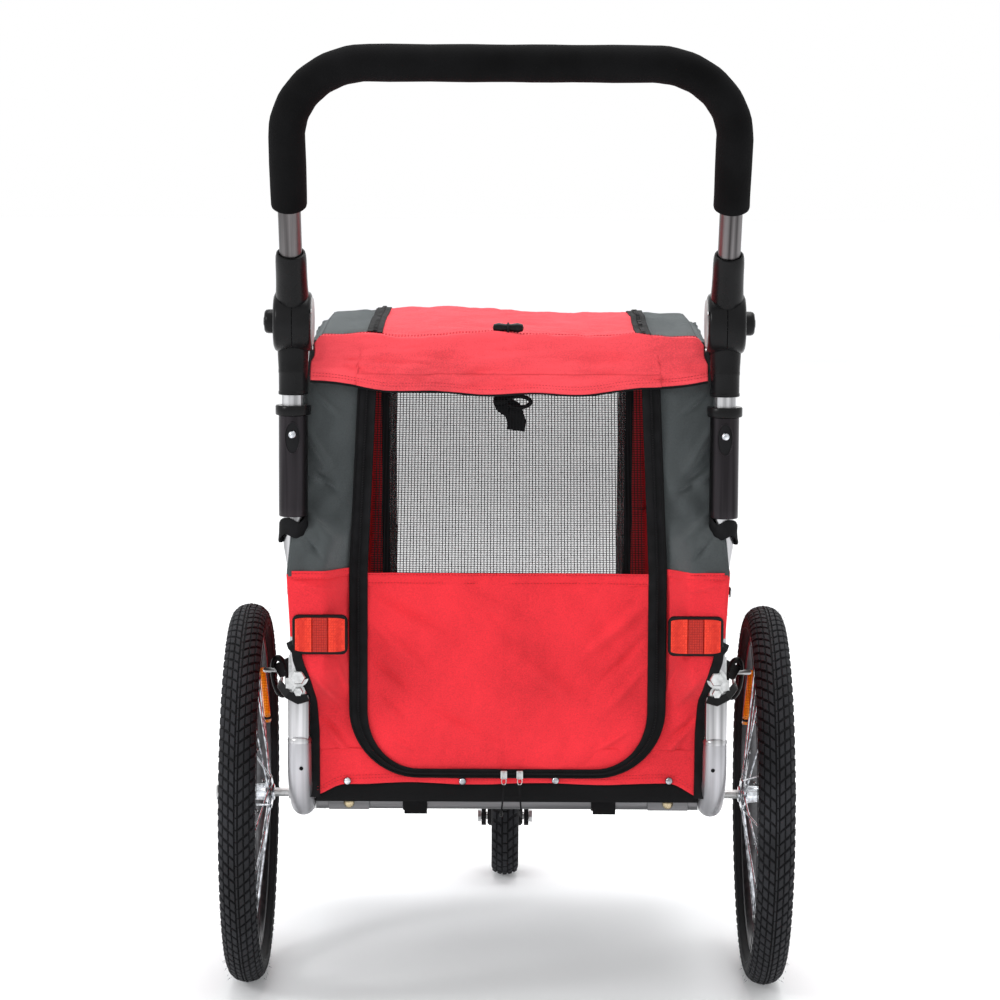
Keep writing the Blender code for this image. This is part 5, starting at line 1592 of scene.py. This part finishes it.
def reflectors():
    """The two rear reflectors: a black tray with three prism panels."""
    for side, _ in SIDES:
        low, high, mid, _ = placed(f"rear_reflector_{side}")
        mid, wide, tall = Vector(mid), high[0] - low[0], high[2] - low[2]
        back = high[1] - 0.001
        tray = [plaque(wide + 0.001, tall, 0.008, 0.0052, (mid.x, back, mid.z))]
        merged(f"reflector_tray_{side}", tray, PLASTIC, "chassis", smooth=30,
               stands_for=(f"rear_reflector_{side}",))
        inner, face = wide - 0.006, back - 0.0044
        for k, mat in enumerate((RED_LENS, RED_LENS_DARK, RED_LENS)):
            x = mid.x + (k - 1) * inner / 3
            half = inner / 6 - 0.0001
            columns, rows = 14, 22
            verts = []
            for j in range(rows + 1):
                for i in range(columns + 1):
                    u, v = 2 * i / columns - 1, 2 * j / rows - 1
                    outer = abs(u + (k - 1) * 2) / 3
                    z = v * (tall / 2 - 0.0036 - 0.0022 * outer ** 6)
                    ridge = 0.00035 * ((i + j) % 2) + 0.001 * (1 - outer ** 2)
                    y = face - 0.0016 - ridge + (0.0012 if k == 1 and abs(u) > 0.96 else 0)
                    verts.append(Vector((x + u * half, y, mid.z + z)))
            base = len(verts)
            wide_n = columns + 1
            rim = [*range(wide_n), *[j * wide_n + columns for j in range(1, rows + 1)],
                   *[rows * wide_n + i for i in range(columns - 1, -1, -1)],
                   *[j * wide_n for j in range(rows - 1, 0, -1)]]
            verts += [Vector((verts[i].x, face + 0.0008, verts[i].z)) for i in rim]
            faces = quads(columns, rows)
            m = len(rim)
            faces += [(rim[q], base + q, base + (q + 1) % m, rim[(q + 1) % m]) for q in range(m)]
            faces.append(tuple(base + q for q in range(m))[::-1])
            make(f"reflector_lens_{k}_{side}", verts, faces, mat, "chassis", smooth=15)


def leash():
    """The safety leash strap and its hook, hanging inside behind the rear window."""
    y = REAR_Y + 0.02
    strap = [Vector((-0.004, y, 0.858)), Vector((-0.006, y, 0.835)), Vector((-0.008, y - 0.002, 0.81)),
             Vector((-0.006, y - 0.004, 0.79)), Vector((0.004, y - 0.004, 0.786)),
             Vector((0.01, y - 0.003, 0.77)), Vector((0.008, y - 0.002, 0.756))]
    sweep("leash_strap", finer(strap, 5), 0.023, 0.0022, REARWARD, TAPE, "chassis", squash=True)
    hook = [Vector((0.012 + 0.015 * cos(t), y - 0.008, 0.795 + 0.007 * sin(t))) for t in around(28)]
    rod("leash_hook", hook, 0.0052, PLASTIC, "chassis", 12, closed=True, squash=True)
    swivel = [(0.0001, -0.01), (0.006, -0.009), (0.0065, 0.004), (0.004, 0.008), (0.0001, 0.009)]
    lathe("leash_swivel", swivel, (-0.01, y - 0.008, 0.796), (1, 0, 0.1), PLASTIC, "chassis", 24,
          squash=True)


# ---------------------------------------------------------------- stage
def stage():
    """A pale floor, a white world, three soft lights, and the camera at the photo's angle."""
    floor_mat = Nodes("studio_floor", (0.9, 0.905, 0.915), 0.8, Specular_IOR_Level=0.1,
                      Emission_Strength=0.13)
    floor_mat.shader.inputs["Emission Color"].default_value = (0.97, 0.98, 1, 1)
    tone = floor_mat.noise(1.5, 3)
    floor_mat.colour(tone, [(0.3, (0.86, 0.865, 0.88)), (0.7, (0.93, 0.935, 0.94))])
    bpy.ops.mesh.primitive_plane_add(size=60, location=(0, 10, 0))
    floor = bpy.context.object
    floor.name = "studio_floor"
    floor.data.materials.append(floor_mat.mat)
    world = bpy.data.worlds.new("studio")
    bpy.context.scene.world = world
    world.use_nodes = True
    world.node_tree.nodes["Background"].inputs[0].default_value = (1, 1, 1, 1)
    world.node_tree.nodes["Background"].inputs[1].default_value = 1.0
    for name, at, size, watts in (
        ("key", (-3.4, -2.2, 2.4), 1.0, 46),
        ("top", (0.2, 0.3, 3.6), 2.2, 66),
        ("back", (0, 4.5, 3.0), 3.0, 30),
    ):
        light = bpy.data.objects.new(name, bpy.data.lights.new(name, "AREA"))
        light.data.size = size
        light.data.energy = watts
        light.location = at
        light.rotation_euler = (Vector((0, 0, 0.5)) - Vector(at)).to_track_quat("-Z", "Y").to_euler()
        bpy.context.scene.collection.objects.link(light)
    camera = bpy.data.objects.new("camera", bpy.data.cameras.new("camera"))
    camera.data.lens = 121.6
    camera.data.sensor_width = 36
    camera.location = (-0.0129, WHEEL.y - 4.446, 1.128)
    camera.rotation_euler = (radians(90 - 6.19), radians(-0.29), 0)
    camera.data.clip_end = 200
    bpy.context.scene.collection.objects.link(camera)
    bpy.context.scene.camera = camera
    bpy.context.scene.view_settings.view_transform = "Standard"


stage()
rear_cloth()
rear_door()
zip_sliders()
valance()
roof()
roof_front_edge()
roof_toggle()
cabin_sides()
cabin_front()
tub()
base_frame()
recolour()
posts()
brake_loops()
hinge_hardware()
for side, s in SIDES:
    wheel(side, s)
front_wheel()
handle()
reflectors()
leash()
